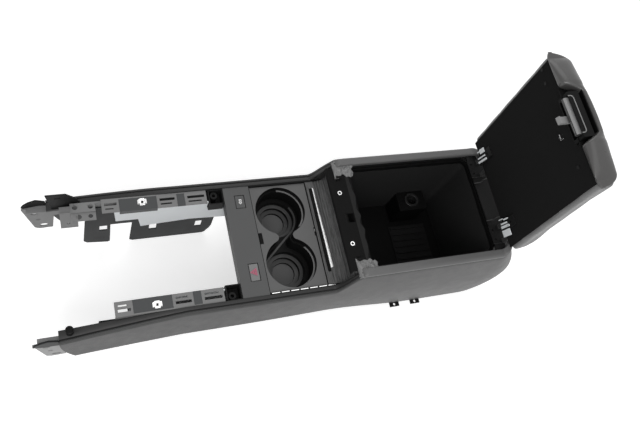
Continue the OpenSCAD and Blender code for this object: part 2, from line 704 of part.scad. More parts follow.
// frame on the vehicle floor under the bin
base_half = side_half - 16;
base_x = [bin_front + 129, rear_len - 62];
base_t = 3;
floor_bolt = [110, 150];
floor_bolt_x = origin_x;
floor_bolt_r = 4.5;
module base_frame() {
    z1 = bin_floor - bin_wall;
    color("#2b2b2d") difference() {
        union() {
            difference() {
                block(base_x, [-base_half, base_half], [0, z1]);
                block([base_x[0] + base_t, base_x[1] - base_t], [-base_half + base_t, base_half - base_t],
                    [base_t, z1 + 1]);
            }
            for (x = [base_x[0] + 75, base_x[1] - 90])
                block([x, x + base_t], [-base_half + 1, base_half - 1], [1, z1]);
        }
        for (i = [-1, 1], j = [-1, 1])
            translate([floor_bolt_x + i * floor_bolt[0] / 2, j * floor_bolt[1] / 2, -1])
            cylinder(h = base_t + 2, r = floor_bolt_r);
        block([base_x[0] + 30, base_x[1] - 40], [-40, 40], [-1, base_t + 1]);
    }
}

// clips under the lower edge of the side skins
module side_clip(x) {
    y0 = base_half;
    translate([x, y0, 0]) {
        cube([26, side_half - 11 - y0 - skin_t, 14]);
        difference() {
            translate([2, 0, 0]) cube([22, side_half - 2 - y0, skin_foot - 0.5]);
            translate([13, side_half - 7 - y0, -1]) cylinder(h = 6, r = 3);
        }
    }
}
module side_clips() {
    color("#232325") for (s = [0, 1]) mirror([0, s, 0]) {
        side_clip(262);
        side_clip(312);
    }
}

// the lid is drawn shut and swung open about the hinge axis
module lid_swing() {
    translate([hinge_x, 0, hinge_z]) rotate([0, lid_open, 0]) translate([-hinge_x, 0, -hinge_z]) children();
}
lid_back = hinge_x - 15;
nose_x = hinge_x - lid_len;
nose_start = nose_x + 24;
inner_t = 4;
inner_half = lid_half - 13;
function pad_section(x) = let (z = lid_z, h = lid_half,
    t = lid_t * (1 - 0.25 * pow(max(0, (x - lid_back + 40) / 40), 2))
        * (1 - 0.1 * pow(max(0, (nose_start + 60 - x) / 60), 2)),
    side = [for (a = [0:15:75]) [h - 12 + 12 * cos(a), z + t - 14 + 12 * sin(a)]],
    half = concat([[inner_half, z + inner_t], [inner_half, z], [h - 5, z + 0.4], [h - 1, z + 3], [h, z + 9]],
        side, [[h - 30, z + t - 0.8], [h - 70, z + t]]))
    concat([for (p = half) [x, p[0], p[1]]],
        [for (i = [len(half) - 1:-1:0]) [x, -half[i][0], half[i][1]]]);
module lid_pad() {
    color("dimgray") lid_swing()
        loft([for (i = [0:12]) pad_section(lid_back + (nose_start - lid_back) * i / 12)]);
}
recess_half = 38;
recess_flare = 12;
slab_t = 14;
recess_in = 9;
housing_h = 16;
housing_end = nose_start + 11.8;
bow_r = 320;
module lid_nose() {
    drop = 6;
    z0 = lid_z - drop;
    t = 0.9 * lid_t + drop;
    color("gray") lid_swing() difference() {
        intersection() {
            plate_xz(-lid_half, 2 * lid_half) polygon([[nose_start, lid_z], [nose_start, z0 + t],
                [nose_x + 15, z0 + t - 3], [nose_x + 7, z0 + t - 9], [nose_x + 2, z0 + t - 18],
                [nose_x, z0 + t - 26], [nose_x, z0 + 8], [nose_x + 3, z0 + 2], [nose_x + 7, z0],
                [nose_start - 8, z0], [nose_start - 2, z0 + 3]]);
            translate([nose_x + bow_r, 0, z0 - 1]) cylinder(h = t + 2, r = bow_r, $fn = 360);
        }
        translate([nose_x - 1, 0, 0]) rotate([90, 0, 90]) linear_extrude(nose_start - nose_x + 2)
            polygon([[-recess_half - recess_flare, z0 - 1], [-recess_half, z0 + t - slab_t],
                [recess_half, z0 + t - slab_t], [recess_half + recess_flare, z0 - 1]]);
    }
}
module lid_inner() {
    color("#1b1b1c") lid_swing() difference() {
        block([nose_start, lid_back], [-inner_half, inner_half], [lid_z, lid_z + inner_t]);
        block([nose_start - 1, housing_end + 0.2], [-handle_half - 8.2, handle_half + 8.2],
            [lid_z - 1, lid_z + inner_t + 1]);
    }
}
arm_t = 2.5;
arm_reach = 46;
module hinge_arm() {
    y = [hinge_y[0] + knuckle_w + slide_gap, hinge_y[1] - knuckle_w - slide_gap];
    difference() {
        union() {
            knuckle(y[0], y[1]);
            block([lid_back + 0.3, hinge_x], y, [hinge_z - knuckle_r, hinge_z - knuckle_r + 5]);
            block([lid_back + 0.3, lid_back + 3.3], y, [lid_z - arm_t, hinge_z - knuckle_r + 5]);
            block([lid_back - arm_reach, lid_back + 0.3], y, [lid_z - arm_t, lid_z]);
        }
        pin_hole(y[0], y[1]);
        for (i = [0, 1])
            translate([lid_back - 12 - 20 * i, (y[0] + y[1]) / 2, lid_z - 5]) cylinder(h = 8, r = 2.2);
    }
}
module hinge_arms() {
    color("gainsboro") lid_swing() for (s = [0, 1]) mirror([0, s, 0]) hinge_arm();
}

// latch: a housing in the nose recess, the handle on its pivot, and the hook
handle_half = 32;
handle_x = nose_x + 14;
handle_l = 9;
pivot_x = handle_x + handle_l / 2;
pivot_z = lid_z + 8;
pivot_r = 2;
hook_x = latch_x + 2;
hook_pivot_z = lid_z + 1;
hook_pin_r = 1.5;
module latch_housing() {
    x = [nose_x + recess_in + 0.2, nose_start - 0.2, housing_end];
    y = [handle_half + 1.5, handle_half + 8];
    z = [lid_z - 4, lid_z + inner_t - 0.2, lid_z + housing_h - 0.2];
    color("#26262a") lid_swing() difference() {
        union() {
            block([x[0], x[1]], [-y[1], y[1]], [z[0], z[2]]);
            block([x[0], x[2]], [-y[1], y[1]], [z[0], z[1]]);
        }
        block([x[0] + 1.8, x[1] + 0.1], [-y[0], y[0]], [z[0] - 1, z[2] - 2]);
        block([x[0] + 1.8, x[2] - 1.8], [-y[0], y[0]], [z[0] - 1, z[1] + 1]);
        translate([pivot_x, -y[1] - 1, pivot_z]) rotate([-90, 0, 0])
            cylinder(h = 2 * y[1] + 2, r = pivot_r + bore_gap);
    }
    color("#26262a") lid_swing() difference() {
        for (s = [-1, 1]) block([hook_x - 4, x[2] - 1], [s * 8.5 - 2, s * 8.5 + 2], [z[1] - 5.4, z[1]]);
        translate([hook_x, -12, hook_pivot_z]) rotate([-90, 0, 0])
            cylinder(h = 24, r = hook_pin_r + bore_gap);
    }
}
module latch_handle() {
    x = [handle_x, handle_x + handle_l];
    color("#8d8d90") lid_swing() {
        difference() {
            plate_xz(-handle_half, 2 * handle_half) polygon([[x[0], lid_z - 7], [x[0] + 2, lid_z - 10],
                [x[1] - 2, lid_z - 10], [x[1], lid_z - 7], [x[1], pivot_z + 1], [x[1] - 2, pivot_z + 3],
                [x[0] + 2, pivot_z + 3], [x[0], pivot_z + 1]]);
            block([x[0] + 3, x[1] - 3], [-handle_half + 3, -8], [lid_z - 11, lid_z + 2]);
        }
        translate([pivot_x, -handle_half - 7, pivot_z]) rotate([-90, 0, 0])
            cylinder(h = 2 * handle_half + 14, r = pivot_r);
    }
}
module latch_hook() {
    z = hook_pivot_z;
    color("#9a9a9d") lid_swing() {
        plate_xz(-6, 12) polygon([[hook_x - 2.4, z], [hook_x - 2.4, lid_z - 19], [hook_x - 5, lid_z - 21],
            [hook_x - 5, lid_z - 23], [hook_x + 1, lid_z - 26], [hook_x + 2.4, lid_z - 24],
            [hook_x + 2.4, z], [hook_x + 1.7, z + 1.7], [hook_x, z + 2.4], [hook_x - 1.7, z + 1.7]]);
        translate([hook_x, -10, z]) rotate([-90, 0, 0]) cylinder(h = 20, r = hook_pin_r);
    }
}
module lid_clip() {
    color("silver") lid_swing() {
        block([hinge_x - 268, hinge_x - 258], [-16, -9], [lid_z - 1, lid_z]);
        block([hinge_x - 268, hinge_x - 266.8], [-16, -9], [lid_z - 7, lid_z - 1]);
    }
}
bumper_places = [[278, 105.6], [274, 82], [274, -71]];
module lid_bumpers() {
    color("#3a3a3c") lid_swing() for (p = bumper_places) translate([hinge_x - p[0], p[1], lid_z - 1.7])
        cylinder(h = 1.7, r = 3);
}

placed() mirror_y() side_skin();  // side_skin_near
placed() side_skin();  // side_skin_far
placed() mirror_y() top_trim();  // top_trim_near
placed() top_trim();  // top_trim_far
placed() mirror_y() rim_roll();  // rim_roll_near
placed() rim_roll();  // rim_roll_far
placed() mirror_y() side_liner();  // side_liner_near
placed() side_liner();  // side_liner_far
placed() mirror_y() arm_bracket();  // arm_bracket_near
placed() arm_bracket();  // arm_bracket_far
placed() mirror_y() arm_cover();  // arm_cover_near
placed() arm_cover();  // arm_cover_far
placed() spring_clips();
placed() mirror_y() closeout();  // closeout_near
placed() closeout();  // closeout_far
placed() mirror_y() front_bracket();  // front_bracket_near
placed() front_bracket();  // front_bracket_far
placed() mirror_y() front_nose();  // front_nose_near
placed() front_nose();  // front_nose_far
placed() harness_bracket();
placed() upper_tab();
placed() push_pin();
placed() mirror_y() corner_box();  // corner_box_near
placed() corner_box();  // corner_box_far
placed() switch_panel();
placed() switch_housings();
placed() deck_frame();
placed() cup_insert();
placed() release_tab();
placed() mirror_y() track();  // track_near
placed() track();  // track_far
placed() track_strip();
placed() shutter_curtain();
placed() storage_bin();
placed() bin_liner();
placed() bin_mat();
placed() power_outlet();
placed() bin_ledge();
placed() ledge_screws();
placed() hinge_deck();
placed() mirror_y() hinge_leaf();  // hinge_leaf_near
placed() hinge_leaf();  // hinge_leaf_far
placed() hinge_springs();
placed() hinge_pins();
placed() rear_panel();
placed() base_frame();
placed() side_clips();
placed() hazard_switch();
placed() second_switch();
placed() shutter_lead();
placed() shutter_handle();
placed() lid_pad();
placed() lid_nose();
placed() lid_inner();
placed() hinge_arms();
placed() latch_housing();
placed() lid_clip();
placed() lid_bumpers();
placed() latch_handle();
placed() latch_hook();
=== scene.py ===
import json
import math

import bmesh
import bpy
import numpy as np
from mathutils import Matrix, Vector, noise


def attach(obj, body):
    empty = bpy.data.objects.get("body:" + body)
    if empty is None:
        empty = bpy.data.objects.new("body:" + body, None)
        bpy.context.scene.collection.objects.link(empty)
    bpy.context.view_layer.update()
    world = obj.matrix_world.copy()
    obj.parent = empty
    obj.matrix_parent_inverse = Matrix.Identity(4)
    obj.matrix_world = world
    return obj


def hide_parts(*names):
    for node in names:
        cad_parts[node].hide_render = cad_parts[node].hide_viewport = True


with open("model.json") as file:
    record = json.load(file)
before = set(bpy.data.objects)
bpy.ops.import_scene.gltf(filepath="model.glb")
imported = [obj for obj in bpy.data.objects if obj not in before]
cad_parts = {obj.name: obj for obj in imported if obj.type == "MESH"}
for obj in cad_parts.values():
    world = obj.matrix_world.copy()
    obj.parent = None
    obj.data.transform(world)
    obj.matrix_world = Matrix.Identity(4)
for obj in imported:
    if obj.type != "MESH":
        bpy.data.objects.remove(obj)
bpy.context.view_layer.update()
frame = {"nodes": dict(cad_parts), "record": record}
nodes = frame["nodes"]
print("frame loaded", len(nodes), "nodes")

# sizes that the construction also uses, in millimetres from the cup centres
size = {"deck": 205.0, "half": 123.0, "arm": 411.0, "rear": 505.0, "rise": 70.0, "skin": 3.0,
        "drop": 32.0, "flare": 8.0, "origin": 290.0, "open": 86.0, "hingeX": 409.0, "hingeZ": 293.0,
        "ledge": 263.0, "rail": 107.5}


class Wire:
    # A socket of one material that can be used in arithmetic.

    def __init__(self, tree, socket):
        self.tree = tree
        self.socket = socket

    def math(self, operation, other):
        node = self.tree.nodes.new("ShaderNodeMath")
        node.operation = operation
        for slot, value in zip(node.inputs, (self, other)):
            plug(self.tree, value, slot)
        return Wire(self.tree, node.outputs[0])

    def __add__(self, other):
        return self.math("ADD", other)

    def __mul__(self, other):
        return self.math("MULTIPLY", other)

    def step(self, low, high):
        node = self.tree.nodes.new("ShaderNodeMapRange")
        node.interpolation_type = "SMOOTHSTEP"
        node.inputs["From Min"].default_value = low
        node.inputs["From Max"].default_value = high
        plug(self.tree, self, node.inputs["Value"])
        return Wire(self.tree, node.outputs["Result"])


def plug(tree, value, slot):
    if isinstance(value, Wire):
        tree.links.new(value.socket, slot)
    else:
        slot.default_value = value


class Surface:
    # A material with one Principled shader, and the nodes that feed it.

    def __init__(self, name, color, rough, shine=0.5, metallic=0.0):
        self.material = bpy.data.materials.new(name)
        self.material.use_nodes = True
        self.tree = self.material.node_tree
        self.shader = self.tree.nodes["Principled BSDF"]
        self.shader.inputs["Base Color"].default_value = tuple(color) + (1.0,)
        self.shader.inputs["Roughness"].default_value = rough
        self.shader.inputs["Specular IOR Level"].default_value = shine
        self.shader.inputs["Metallic"].default_value = metallic
        self.color = color

    def node(self, kind, output=0, **inputs):
        made = self.tree.nodes.new("ShaderNode" + kind)
        for key, value in inputs.items():
            plug(self.tree, value, made.inputs[key])
        return Wire(self.tree, made.outputs[output])

    def place(self, scale=(1, 1, 1)):
        coords = self.node("TexCoord", "Object")
        return self.node("Mapping", Vector=coords, Scale=scale)

    def noise(self, scale, detail=2.0, rough=0.5, stretch=(1, 1, 1)):
        return self.node("TexNoise", Vector=self.place(stretch), Scale=scale, Detail=detail, Roughness=rough)

    def cells(self, scale):
        return self.node("TexVoronoi", "Distance", Vector=self.place(), Scale=scale)

    def bump(self, height, strength, distance):
        made = self.tree.nodes.new("ShaderNodeBump")
        made.inputs["Strength"].default_value = strength
        made.inputs["Distance"].default_value = distance
        plug(self.tree, height, made.inputs["Height"])
        self.tree.links.new(made.outputs["Normal"], self.shader.inputs["Normal"])

    def paintedArmShade(self, front):
        # Painted shade: a factor that runs from front, at the arms, to one at the bin, so that the arms,
        # which face the light more, come out darker.
        coords = self.node("TexCoord", "Object")
        along = self.node("SeparateXYZ", "X", Vector=coords)
        return along.step(-0.42, -0.14) * (1 - front) + front

    def tint(self, amount, low, high, shade=1.0):
        # Base colour times a factor that runs from low to high with amount, and times shade, a painted shade
        # factor.
        self.feed("Base Color", (amount * (high - low) + low) * shade, self.color)

    def feed(self, slot, factor, color):
        # A colour times a factor, for an input of the shader.
        made = self.tree.nodes.new("ShaderNodeCombineColor")
        for part, value in zip(made.inputs, color):
            plug(self.tree, factor * value, part)
        self.tree.links.new(made.outputs[0], self.shader.inputs[slot])

    def roughness(self, amount, low, high):
        plug(self.tree, amount * (high - low) + low, self.shader.inputs["Roughness"])


def grey(value, warm=0.0):
    return (value * (1 + warm), value, value * (1 - warm * 0.6))


# fade is painted shade: the share of the base colour left on the arms, rising to all of it at the bin.
def leather(name, value, rough=0.5, warm=0.0, shine=0.3, fade=1.0):
    made = Surface(name, grey(value, warm), rough, shine)
    pores = made.cells(780.0)
    folds = made.noise(160.0, 4.0, 0.6)
    made.bump(pores * 0.6 + folds * 0.7, 0.22, 0.0006)
    made.tint(made.noise(9.0, 3.0), 0.9, 1.1, made.paintedArmShade(fade))
    made.roughness(made.noise(60.0, 2.0), rough - 0.06, rough + 0.06)
    return made.material


def plastic(name, value, rough=0.5, warm=0.0, grain=900.0, depth=0.12, shine=0.35):
    made = Surface(name, grey(value, warm), rough, shine)
    made.bump(made.noise(grain, 2.0), depth, 0.0003)
    made.roughness(made.noise(35.0, 3.0), rough - 0.05, rough + 0.07)
    made.tint(made.noise(14.0, 2.0), 0.94, 1.06)
    return made.material


def felt(name, value):
    made = Surface(name, grey(value), 0.95, 0.06)
    fibres = made.noise(1400.0, 4.0, 0.7)
    made.bump(fibres, 0.5, 0.0008)
    made.tint(fibres, 0.7, 1.3)
    return made.material


def metal(name, value, rough):
    made = Surface(name, grey(value), rough, metallic=1.0)
    made.roughness(made.noise(220.0, 2.0), rough * 0.8, rough * 1.3)
    return made.material


def streaked(name, value):
    made = Surface(name, grey(value), 0.42, 0.4)
    lines = made.noise(60.0, 5.0, 0.75, (14.0, 0.5, 3.0))
    made.tint(lines.step(0.34, 0.66), 0.3, 1.55)
    made.bump(lines, 0.25, 0.0006)
    return made.material


mats = {
    # The side leather is painted darker on the arms (fade), as shade.
    "side": leather("sideLeatherArmShade", 0.072, 0.42, shine=0.16, fade=0.66),
    # The turned edge is the side leather painted darker, as shade.
    "edge": leather("edgeLeatherPaintedShade", 0.045, 0.45),
    # The rim is the side leather painted lighter, as light on its upward face.
    "rim": leather("rimLeatherPaintedLight", 0.125, 0.38, shine=0.4),
    "gather": leather("gatheredLeather", 0.19, 0.36, shine=0.5),
    "lid": leather("lidLeather", 0.17, 0.42),
    "nose": leather("noseLeather", 0.05, 0.3, 0.03, 0.6),
    "trim": plastic("trimDark", 0.012, 0.42),
    "seam": plastic("seamDark", 0.004, 0.7, shine=0.1),
    "pale": plastic("paleLiner", 0.94, 0.5, -0.03),
    "bracket": plastic("bracketGrey", 0.2, 0.45),
    # A lighter copy of the bracket grey: painted light on the near front bracket.
    "bracketPaintedLight": plastic("bracketPaintedLight", 0.27, 0.4),
    "cover": plastic("coverDark", 0.036, 0.38, -0.07, shine=0.5),
    "flap": plastic("flapGrey", 0.013, 0.5, -0.08, shine=0.18),
    "dark": plastic("darkPlastic", 0.009, 0.55, shine=0.15),
    "black": plastic("blackPlastic", 0.003, 0.6, shine=0.12),
    "ledge": plastic("ledgeBlack", 0.008, 0.75, shine=0.08),
    "panel": plastic("panelGrey", 0.085, 0.5, -0.01),
    "insert": plastic("insertGrey", 0.11, 0.42),
    "ring": plastic("ringGrey", 0.05, 0.4),
    "floor": plastic("cupFloor", 0.12, 0.5),
    # A painted highlight: on the cups' lip and on the edge of the insert's notch.
    "lip": plastic("lipPaintedHighlight", 0.2, 0.3, shine=0.5),
    "hazard": plastic("hazardGrey", 0.2, 0.35),
    "latch": plastic("latchGrey", 0.27, 0.35),
    "latchDark": plastic("latchDark", 0.055, 0.45),
    "rear": plastic("rearGrey", 0.03, 0.5),
    "shutter": streaked("shutterGrain", 0.095),
    "curtain": streaked("curtainGrain", 0.075),
    "lining": felt("lidLining", 0.0125),
    "felt": felt("binFelt", 0.024),
    "feltEdge": felt("ledgeFelt", 0.027),
    "rubber": plastic("matRubber", 0.008, 0.7, 0, 400.0, 0.3, 0.2),
    "chrome": metal("brightMetal", 0.85, 0.16),
    "bright": metal("brushedBar", 0.95, 0.5),
    "steel": metal("springSteel", 0.62, 0.28),
    "outlet": plastic("outletRing", 0.02, 0.25, shine=0.6),
    "red": Surface("markRed", (0.55, 0.12, 0.2), 0.4).material,
    "white": Surface("markWhite", (0.75, 0.75, 0.75), 0.4).material,
}
print("materials", len(mats))


def metres(points):
    points = np.asarray(points, dtype=float)
    return (points - np.array([size["origin"], 0.0, 0.0])) / 1000.0


def makeMesh(name, form, material, body, replaced=(), smooth=True):
    # A new piece from its form, which is points in metres and faces.
    mesh = bpy.data.meshes.new(name)
    mesh.from_pydata([tuple(v) for v in form[0]], [], [tuple(f) for f in form[1]])
    mesh.validate()
    piece = bpy.data.objects.new(name, mesh)
    bpy.context.scene.collection.objects.link(piece)
    edit = bmesh.new()
    edit.from_mesh(mesh)
    bmesh.ops.remove_doubles(edit, verts=edit.verts, dist=1e-6)
    bmesh.ops.recalc_face_normals(edit, faces=edit.faces)
    edit.to_mesh(mesh)
    edit.free()
    dress(piece, material, smooth)
    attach(piece, body)
    if replaced:
        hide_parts(*replaced)


def dress(piece, material, smooth=True, angle=40.0):
    piece.data.materials.clear()
    piece.data.materials.append(mats[material])
    if smooth:
        piece.data.polygons.foreach_set("use_smooth", [True] * len(piece.data.polygons))
        piece.data.set_sharp_from_angle(angle=math.radians(angle))


def tubeGrid(points, ends=True):
    # Faces of a closed form: each row of points is a closed ring.
    rows, columns = points.shape[:2]
    faces = []
    for low in range(0, (rows - 1) * columns, columns):
        for j in range(columns):
            k = (j + 1) % columns
            faces.append([low + j, low + k, low + columns + k, low + columns + j])
    if ends:
        faces.append(list(range(columns))[::-1])
        faces.append([(rows - 1) * columns + j for j in range(columns)])
    return points.reshape(-1, 3), faces


def shellGrid(points):
    # The same for a shell, with flat ends. A ring is an outer row, then the inner row backwards.
    rows, wide = points.shape[:2]
    verts, faces = tubeGrid(points, ends=False)
    for start in (0, (rows - 1) * wide):
        for j in range(wide // 2 - 1):
            faces.append([start + j, start + j + 1, start + wide - 2 - j, start + wide - 1 - j])
    return verts, faces


def wireTube(path, radius, sides=10):
    # A round wire along a path: at each point a ring square to the path.
    path = np.asarray(path, dtype=float)
    ahead = np.gradient(path, axis=0)
    ahead /= np.linalg.norm(ahead, axis=1)[:, None] + 1e-12
    side = np.cross(ahead[0], [0.3, 0.5, 0.81])
    rings = []
    for point, way in zip(path, ahead):
        side = side - way * np.dot(side, way)
        side /= np.linalg.norm(side)
        other = np.cross(way, side)
        turn = np.linspace(0, 2 * np.pi, sides, endpoint=False)
        rings.append(point + radius * (np.cos(turn)[:, None] * side + np.sin(turn)[:, None] * other))
    return tubeGrid(np.array(rings))


def joinParts(parts):
    verts, faces = [], []
    for partVerts, partFaces in parts:
        faces += [[i + len(verts) for i in f] for f in partFaces]
        verts += [tuple(v) for v in partVerts]
    return np.array(verts), faces


def ease(t):
    t = np.clip(t, 0, 1)
    return t * t * (3 - 2 * t)


# The console's own lines, as in the construction: share of the way to the arms' ends, height of the seam
# and of the skin's foot, half width, and the rear's lean.
def frontShare(x):
    return np.maximum(0, (x + size["arm"] - 211) / -211)


def seamZ(x):
    return (size["deck"] - 2 - size["drop"] * frontShare(x) ** 1.35
            + (size["rise"] - 6) * ease((x - 68) / 40) + 8 * ease((x - 425) / 60))


def footZ(x):
    return 3.5 + (size["deck"] - 134.5) * (1 - ease((x - 80) / 240))


def sideY(x, z):
    h = z - size["deck"] + 60
    low = np.maximum(-h, 0) / (size["deck"] - 60)
    return (size["half"] + size["flare"] * frontShare(x) - 5 * (np.maximum(h, 0) / 122) ** 2
            - 11 * low ** 1.6 * ease((x + 87) / 290))


def rearX(z):
    return size["rear"] - 76 * ((z - 10) / 246) ** 2


def placeX(s, z):
    t = (s - 380) / (size["rear"] - 380)
    return np.where(s < 380, s, 380 + t * (rearX(z) - 380))


def cornerIn(s):
    return 14 * np.clip((s - 425) / (size["rear"] - 425), 0, 1) ** 2.5


def wrinkle(points, scale, seed=0.0):
    # Smooth noise between minus one and one, the same each run.
    flat = np.asarray(points).reshape(-1, 3) * scale + seed
    values = np.array([noise.noise(Vector(p)) for p in flat])
    return values.reshape(np.asarray(points).shape[:-1])


def mirrored(points, sign):
    return points * np.array([1.0, sign, 1.0])


def sideName(sign):
    return "far" if sign > 0 else "near"


# The skin is a shell: u runs along the console and v up the side.
# x = place(u, z), y = side(u, z) less the corner's inset, z = foot + v (seam - foot).
# Its top edge is rounded from "edge" of its height upwards, and its soft swell only goes inwards.
skin = {"rows": 34, "lead": 22, "edge": 0.96, "round": 0.9, "swell": 0.5}


def skinSurface(stations, heights, inset):
    s, v = np.meshgrid(stations, heights, indexing="ij")
    low, high = footZ(s), seamZ(s)
    z = low + (high - low) * v
    lead = skin["lead"] * (1 - v) ** 2 * frontShare(s) ** 3
    return np.stack([placeX(s, z) + lead, sideY(s, z) - cornerIn(s) - inset, z], -1)


def buildSkin(sign):
    stations = np.concatenate([np.linspace(-size["arm"], -40, 90), np.linspace(-40, 130, 70)[1:],
                               np.linspace(130, 360, 50)[1:], np.linspace(360, size["rear"], 70)[1:]])
    heights = np.concatenate([np.linspace(0, skin["edge"], skin["rows"]), [0.975, 0.987, 0.995, 1.0]])
    outer = skinSurface(stations, heights, 0.0)
    inner = skinSurface(stations, heights, size["skin"])
    rounding = np.clip((heights - skin["edge"]) / 0.04, 0, 1) ** 2 * skin["round"]
    outer[..., 1] -= rounding[None, :]
    swell = wrinkle(outer, 0.012, 3.1) * skin["swell"]
    outer[..., 1] += np.minimum(swell, 0) * np.sin(np.pi * heights)[None, :]
    ring = np.concatenate([outer, inner[:, ::-1]], axis=1)
    form = shellGrid(metres(mirrored(ring, sign)))
    makeMesh("sideSkin" + sideName(sign), form, "side", "console",
             ["side_skin_" + sideName(sign)])


for sign in (1, -1):
    buildSkin(sign)
print("side skins")


# A roll is a rounded bar that follows the seam: its section is a quarter round on the outside,
# a flat top and a small round on the inside. It rises from the gathered corner over "grow", and is more
# wrinkled there: the ruffle fades as e to the minus distance over "fade".
rim = {"width": 16.0, "height": 8.0, "outerRound": 5.5, "innerRound": 2.6, "start": 100, "grow": 14,
       "ruffle": 1.5, "fade": 14, "wave": 0.35, "seam": 0.0006}


def rimSection(width, height, big, small):
    turn = [math.radians(a) for a in np.linspace(0, 90, 9)]
    outer = [(-big + big * math.cos(a), height - big + big * math.sin(a)) for a in turn]
    inner = [(-width + small - small * math.cos(a), height - small + small * math.sin(a)) for a in turn[::-1]]
    return np.array([(0.0, 0.0), (0.0, 1.2)] + outer + inner + [(-width, 0.4), (-width, 0.0)])


def buildRim(sign):
    stations = np.concatenate([np.linspace(104, 136, 46), np.linspace(136, 380, 90)[1:],
                               np.linspace(380, size["rear"], 50)[1:]])
    rings = []
    for s in stations:
        full = rim["height"] * math.sin(math.radians(90 * min(1, (s - rim["start"]) / rim["grow"])))
        share = full / rim["height"]
        part = rimSection(rim["width"], full, min(rim["outerRound"], full * 0.8), rim["innerRound"] * share)
        z = seamZ(s)
        y = sideY(s, z) - cornerIn(s)
        ring = np.stack([np.full(len(part), float(placeX(s, z))), y + part[:, 0], z + part[:, 1]], -1)
        rings.append(ring)
    rings = np.array(rings)
    rough = np.exp(-np.maximum(rings[..., 0] - 106, 0) / rim["fade"]) * rim["ruffle"]
    rings[..., 2] += np.minimum(wrinkle(rings, 0.16, 7 * sign) * rough, 0.2)
    soft = wrinkle(rings, 0.03, 2.0) * rim["wave"]
    rings[..., 2] += np.minimum(soft, 0)
    form = tubeGrid(metres(mirrored(rings, sign)))
    # The rim leather is painted lighter than the side leather, as light on its upward face.
    makeMesh("rimRoll" + sideName(sign), form, "rim", "console",
             ["rim_roll_" + sideName(sign)])
    s = np.linspace(108, size["rear"] - 2, 200)
    z = seamZ(s) + 0.2
    seam = np.stack([placeX(s, z), sideY(s, z) - cornerIn(s) - 0.35, z], -1)
    form = wireTube(metres(mirrored(seam, sign)), rim["seam"], 8)
    makeMesh("rimSeam" + sideName(sign), form, "seam", "console")


# A corner is leather pulled round the end of the rim: a patch whose height has ridged folds,
# each fold the gap between one and the size of a wave in the noise. Nothing stands over the cap, which
# is low where the shut lid's nose comes down and rises by "lift" behind it.
corner = {"x": (99.0, 137.0), "y": (84.0, 117.5), "fold": 3.4, "grid": (110, 70), "front": 7.0, "rear": 9.0,
          "inside": 263.9, "outside": 271.5, "cap": 269.2, "lift": 7.3, "liftX": (108.0, 7.0), "thick": 1.6}


def ridged(points, scale, seed):
    return 1 - 2.2 * np.abs(wrinkle(points, scale, seed))


def buildCorner(sign):
    u, v = np.meshgrid(*(np.linspace(0, 1, count) for count in corner["grid"]), indexing="ij")
    ragged = wrinkle(np.stack([u * 30, 0 * u, 0 * u], -1), 0.16, 3.7 * sign) * corner["front"]
    rear = wrinkle(np.stack([v * 30, 0 * u, 0 * u], -1), 0.13, 8.1 * sign) * corner["rear"]
    x = corner["x"][0] + (corner["x"][1] - corner["x"][0] + rear) * u
    y = corner["y"][0] + ragged * (1 - v) + (corner["y"][1] - corner["y"][0]) * v
    inside = corner["inside"] + 0 * u
    outside = np.minimum(seamZ(x) + 4.0, corner["outside"])
    z = inside + (outside - inside) * ease(v * 1.15)
    points = np.stack([x, y, z], -1)
    stretched = points * np.array([1.0, 0.6, 0.35])
    folds = ridged(stretched, 0.09, 11 * sign) + 0.5 * ridged(stretched, 0.22, 5 * sign)
    edge = np.sin(np.pi * np.clip(u, 0.001, 0.999)) ** 0.3 * np.sin(np.pi * np.clip(v, 0.001, 0.999)) ** 0.3
    start, length = corner["liftX"]
    cap = corner["cap"] + corner["lift"] * ease((points[..., 0] - start) / length)
    points[..., 2] = np.minimum(points[..., 2] + corner["fold"] * folds * edge, cap)
    under = points.copy()
    under[..., 2] -= corner["thick"]
    ring = np.concatenate([points, under[:, ::-1]], axis=1)
    form = shellGrid(metres(mirrored(ring, sign)))
    makeMesh("rimCorner" + sideName(sign), form, "gather", "console")


for sign in (1, -1):
    buildRim(sign)
    buildCorner(sign)
print("rim rolls and corners")


# The strip is a stepped section: a leather edge turned over the skin, a groove, then a flat ledge.
# A corner is its distance inwards from the skin or outwards from the rail, and its height over the seam.
trim = {"edge": [(0.9, 0.05), (0.5, 1.4), (0.9, 2.7), (2.0, 3.9),
                 (3.4, 4.4), (4.6, 4.0), (5.0, 3.0), (5.0, 0.05)],
        "ledge": [(5.1, 0.1), (5.1, 1.6), (6.8, 1.7), (7.4, 4.1), (8.2, 4.7)],
        "rail": [(0.9, 4.9), (0.2, 4.3), (0.2, 0.1)]}


def buildTrim(sign):
    stations = np.concatenate([np.linspace(-size["arm"], -50, 90), np.linspace(-50, 104, 90)[1:]])
    turned, ledge = [], []
    for s in stations:
        z = seamZ(s)
        y = sideY(s, z)
        turned.append([(s, y - inward, z + up) for inward, up in trim["edge"]])
        ledge.append([(s, y - inward, z + up) for inward, up in trim["ledge"]]
                     + [(s, size["rail"] + outward, z + up) for outward, up in trim["rail"]])
    # The turned edge takes the edge leather, painted darker than the side leather as shade.
    for name, rings, material in (("armEdge", turned, "edge"), ("armLedge", ledge, "trim")):
        form = tubeGrid(metres(mirrored(np.array(rings), sign)))
        replaced = ["top_trim_" + sideName(sign)] if name == "armLedge" else []
        makeMesh(name + sideName(sign), form, material, "console", replaced)


for sign in (1, -1):
    buildTrim(sign)
print("arm strips")


# The stored slats are one ribbed sheet that follows a path: flat, a bend upwards, then straight up.
# A rib is half a wave over eight tenths of the pitch, to the power "round", times the height "rib".
shutter = {"start": 78.5, "top": 206.3, "bendX": 79.0, "radius": 18.0, "pitch": 5.0, "half": 104.1,
           "thick": 2.8, "straight": 33.0, "rib": 0.75, "round": 0.45}


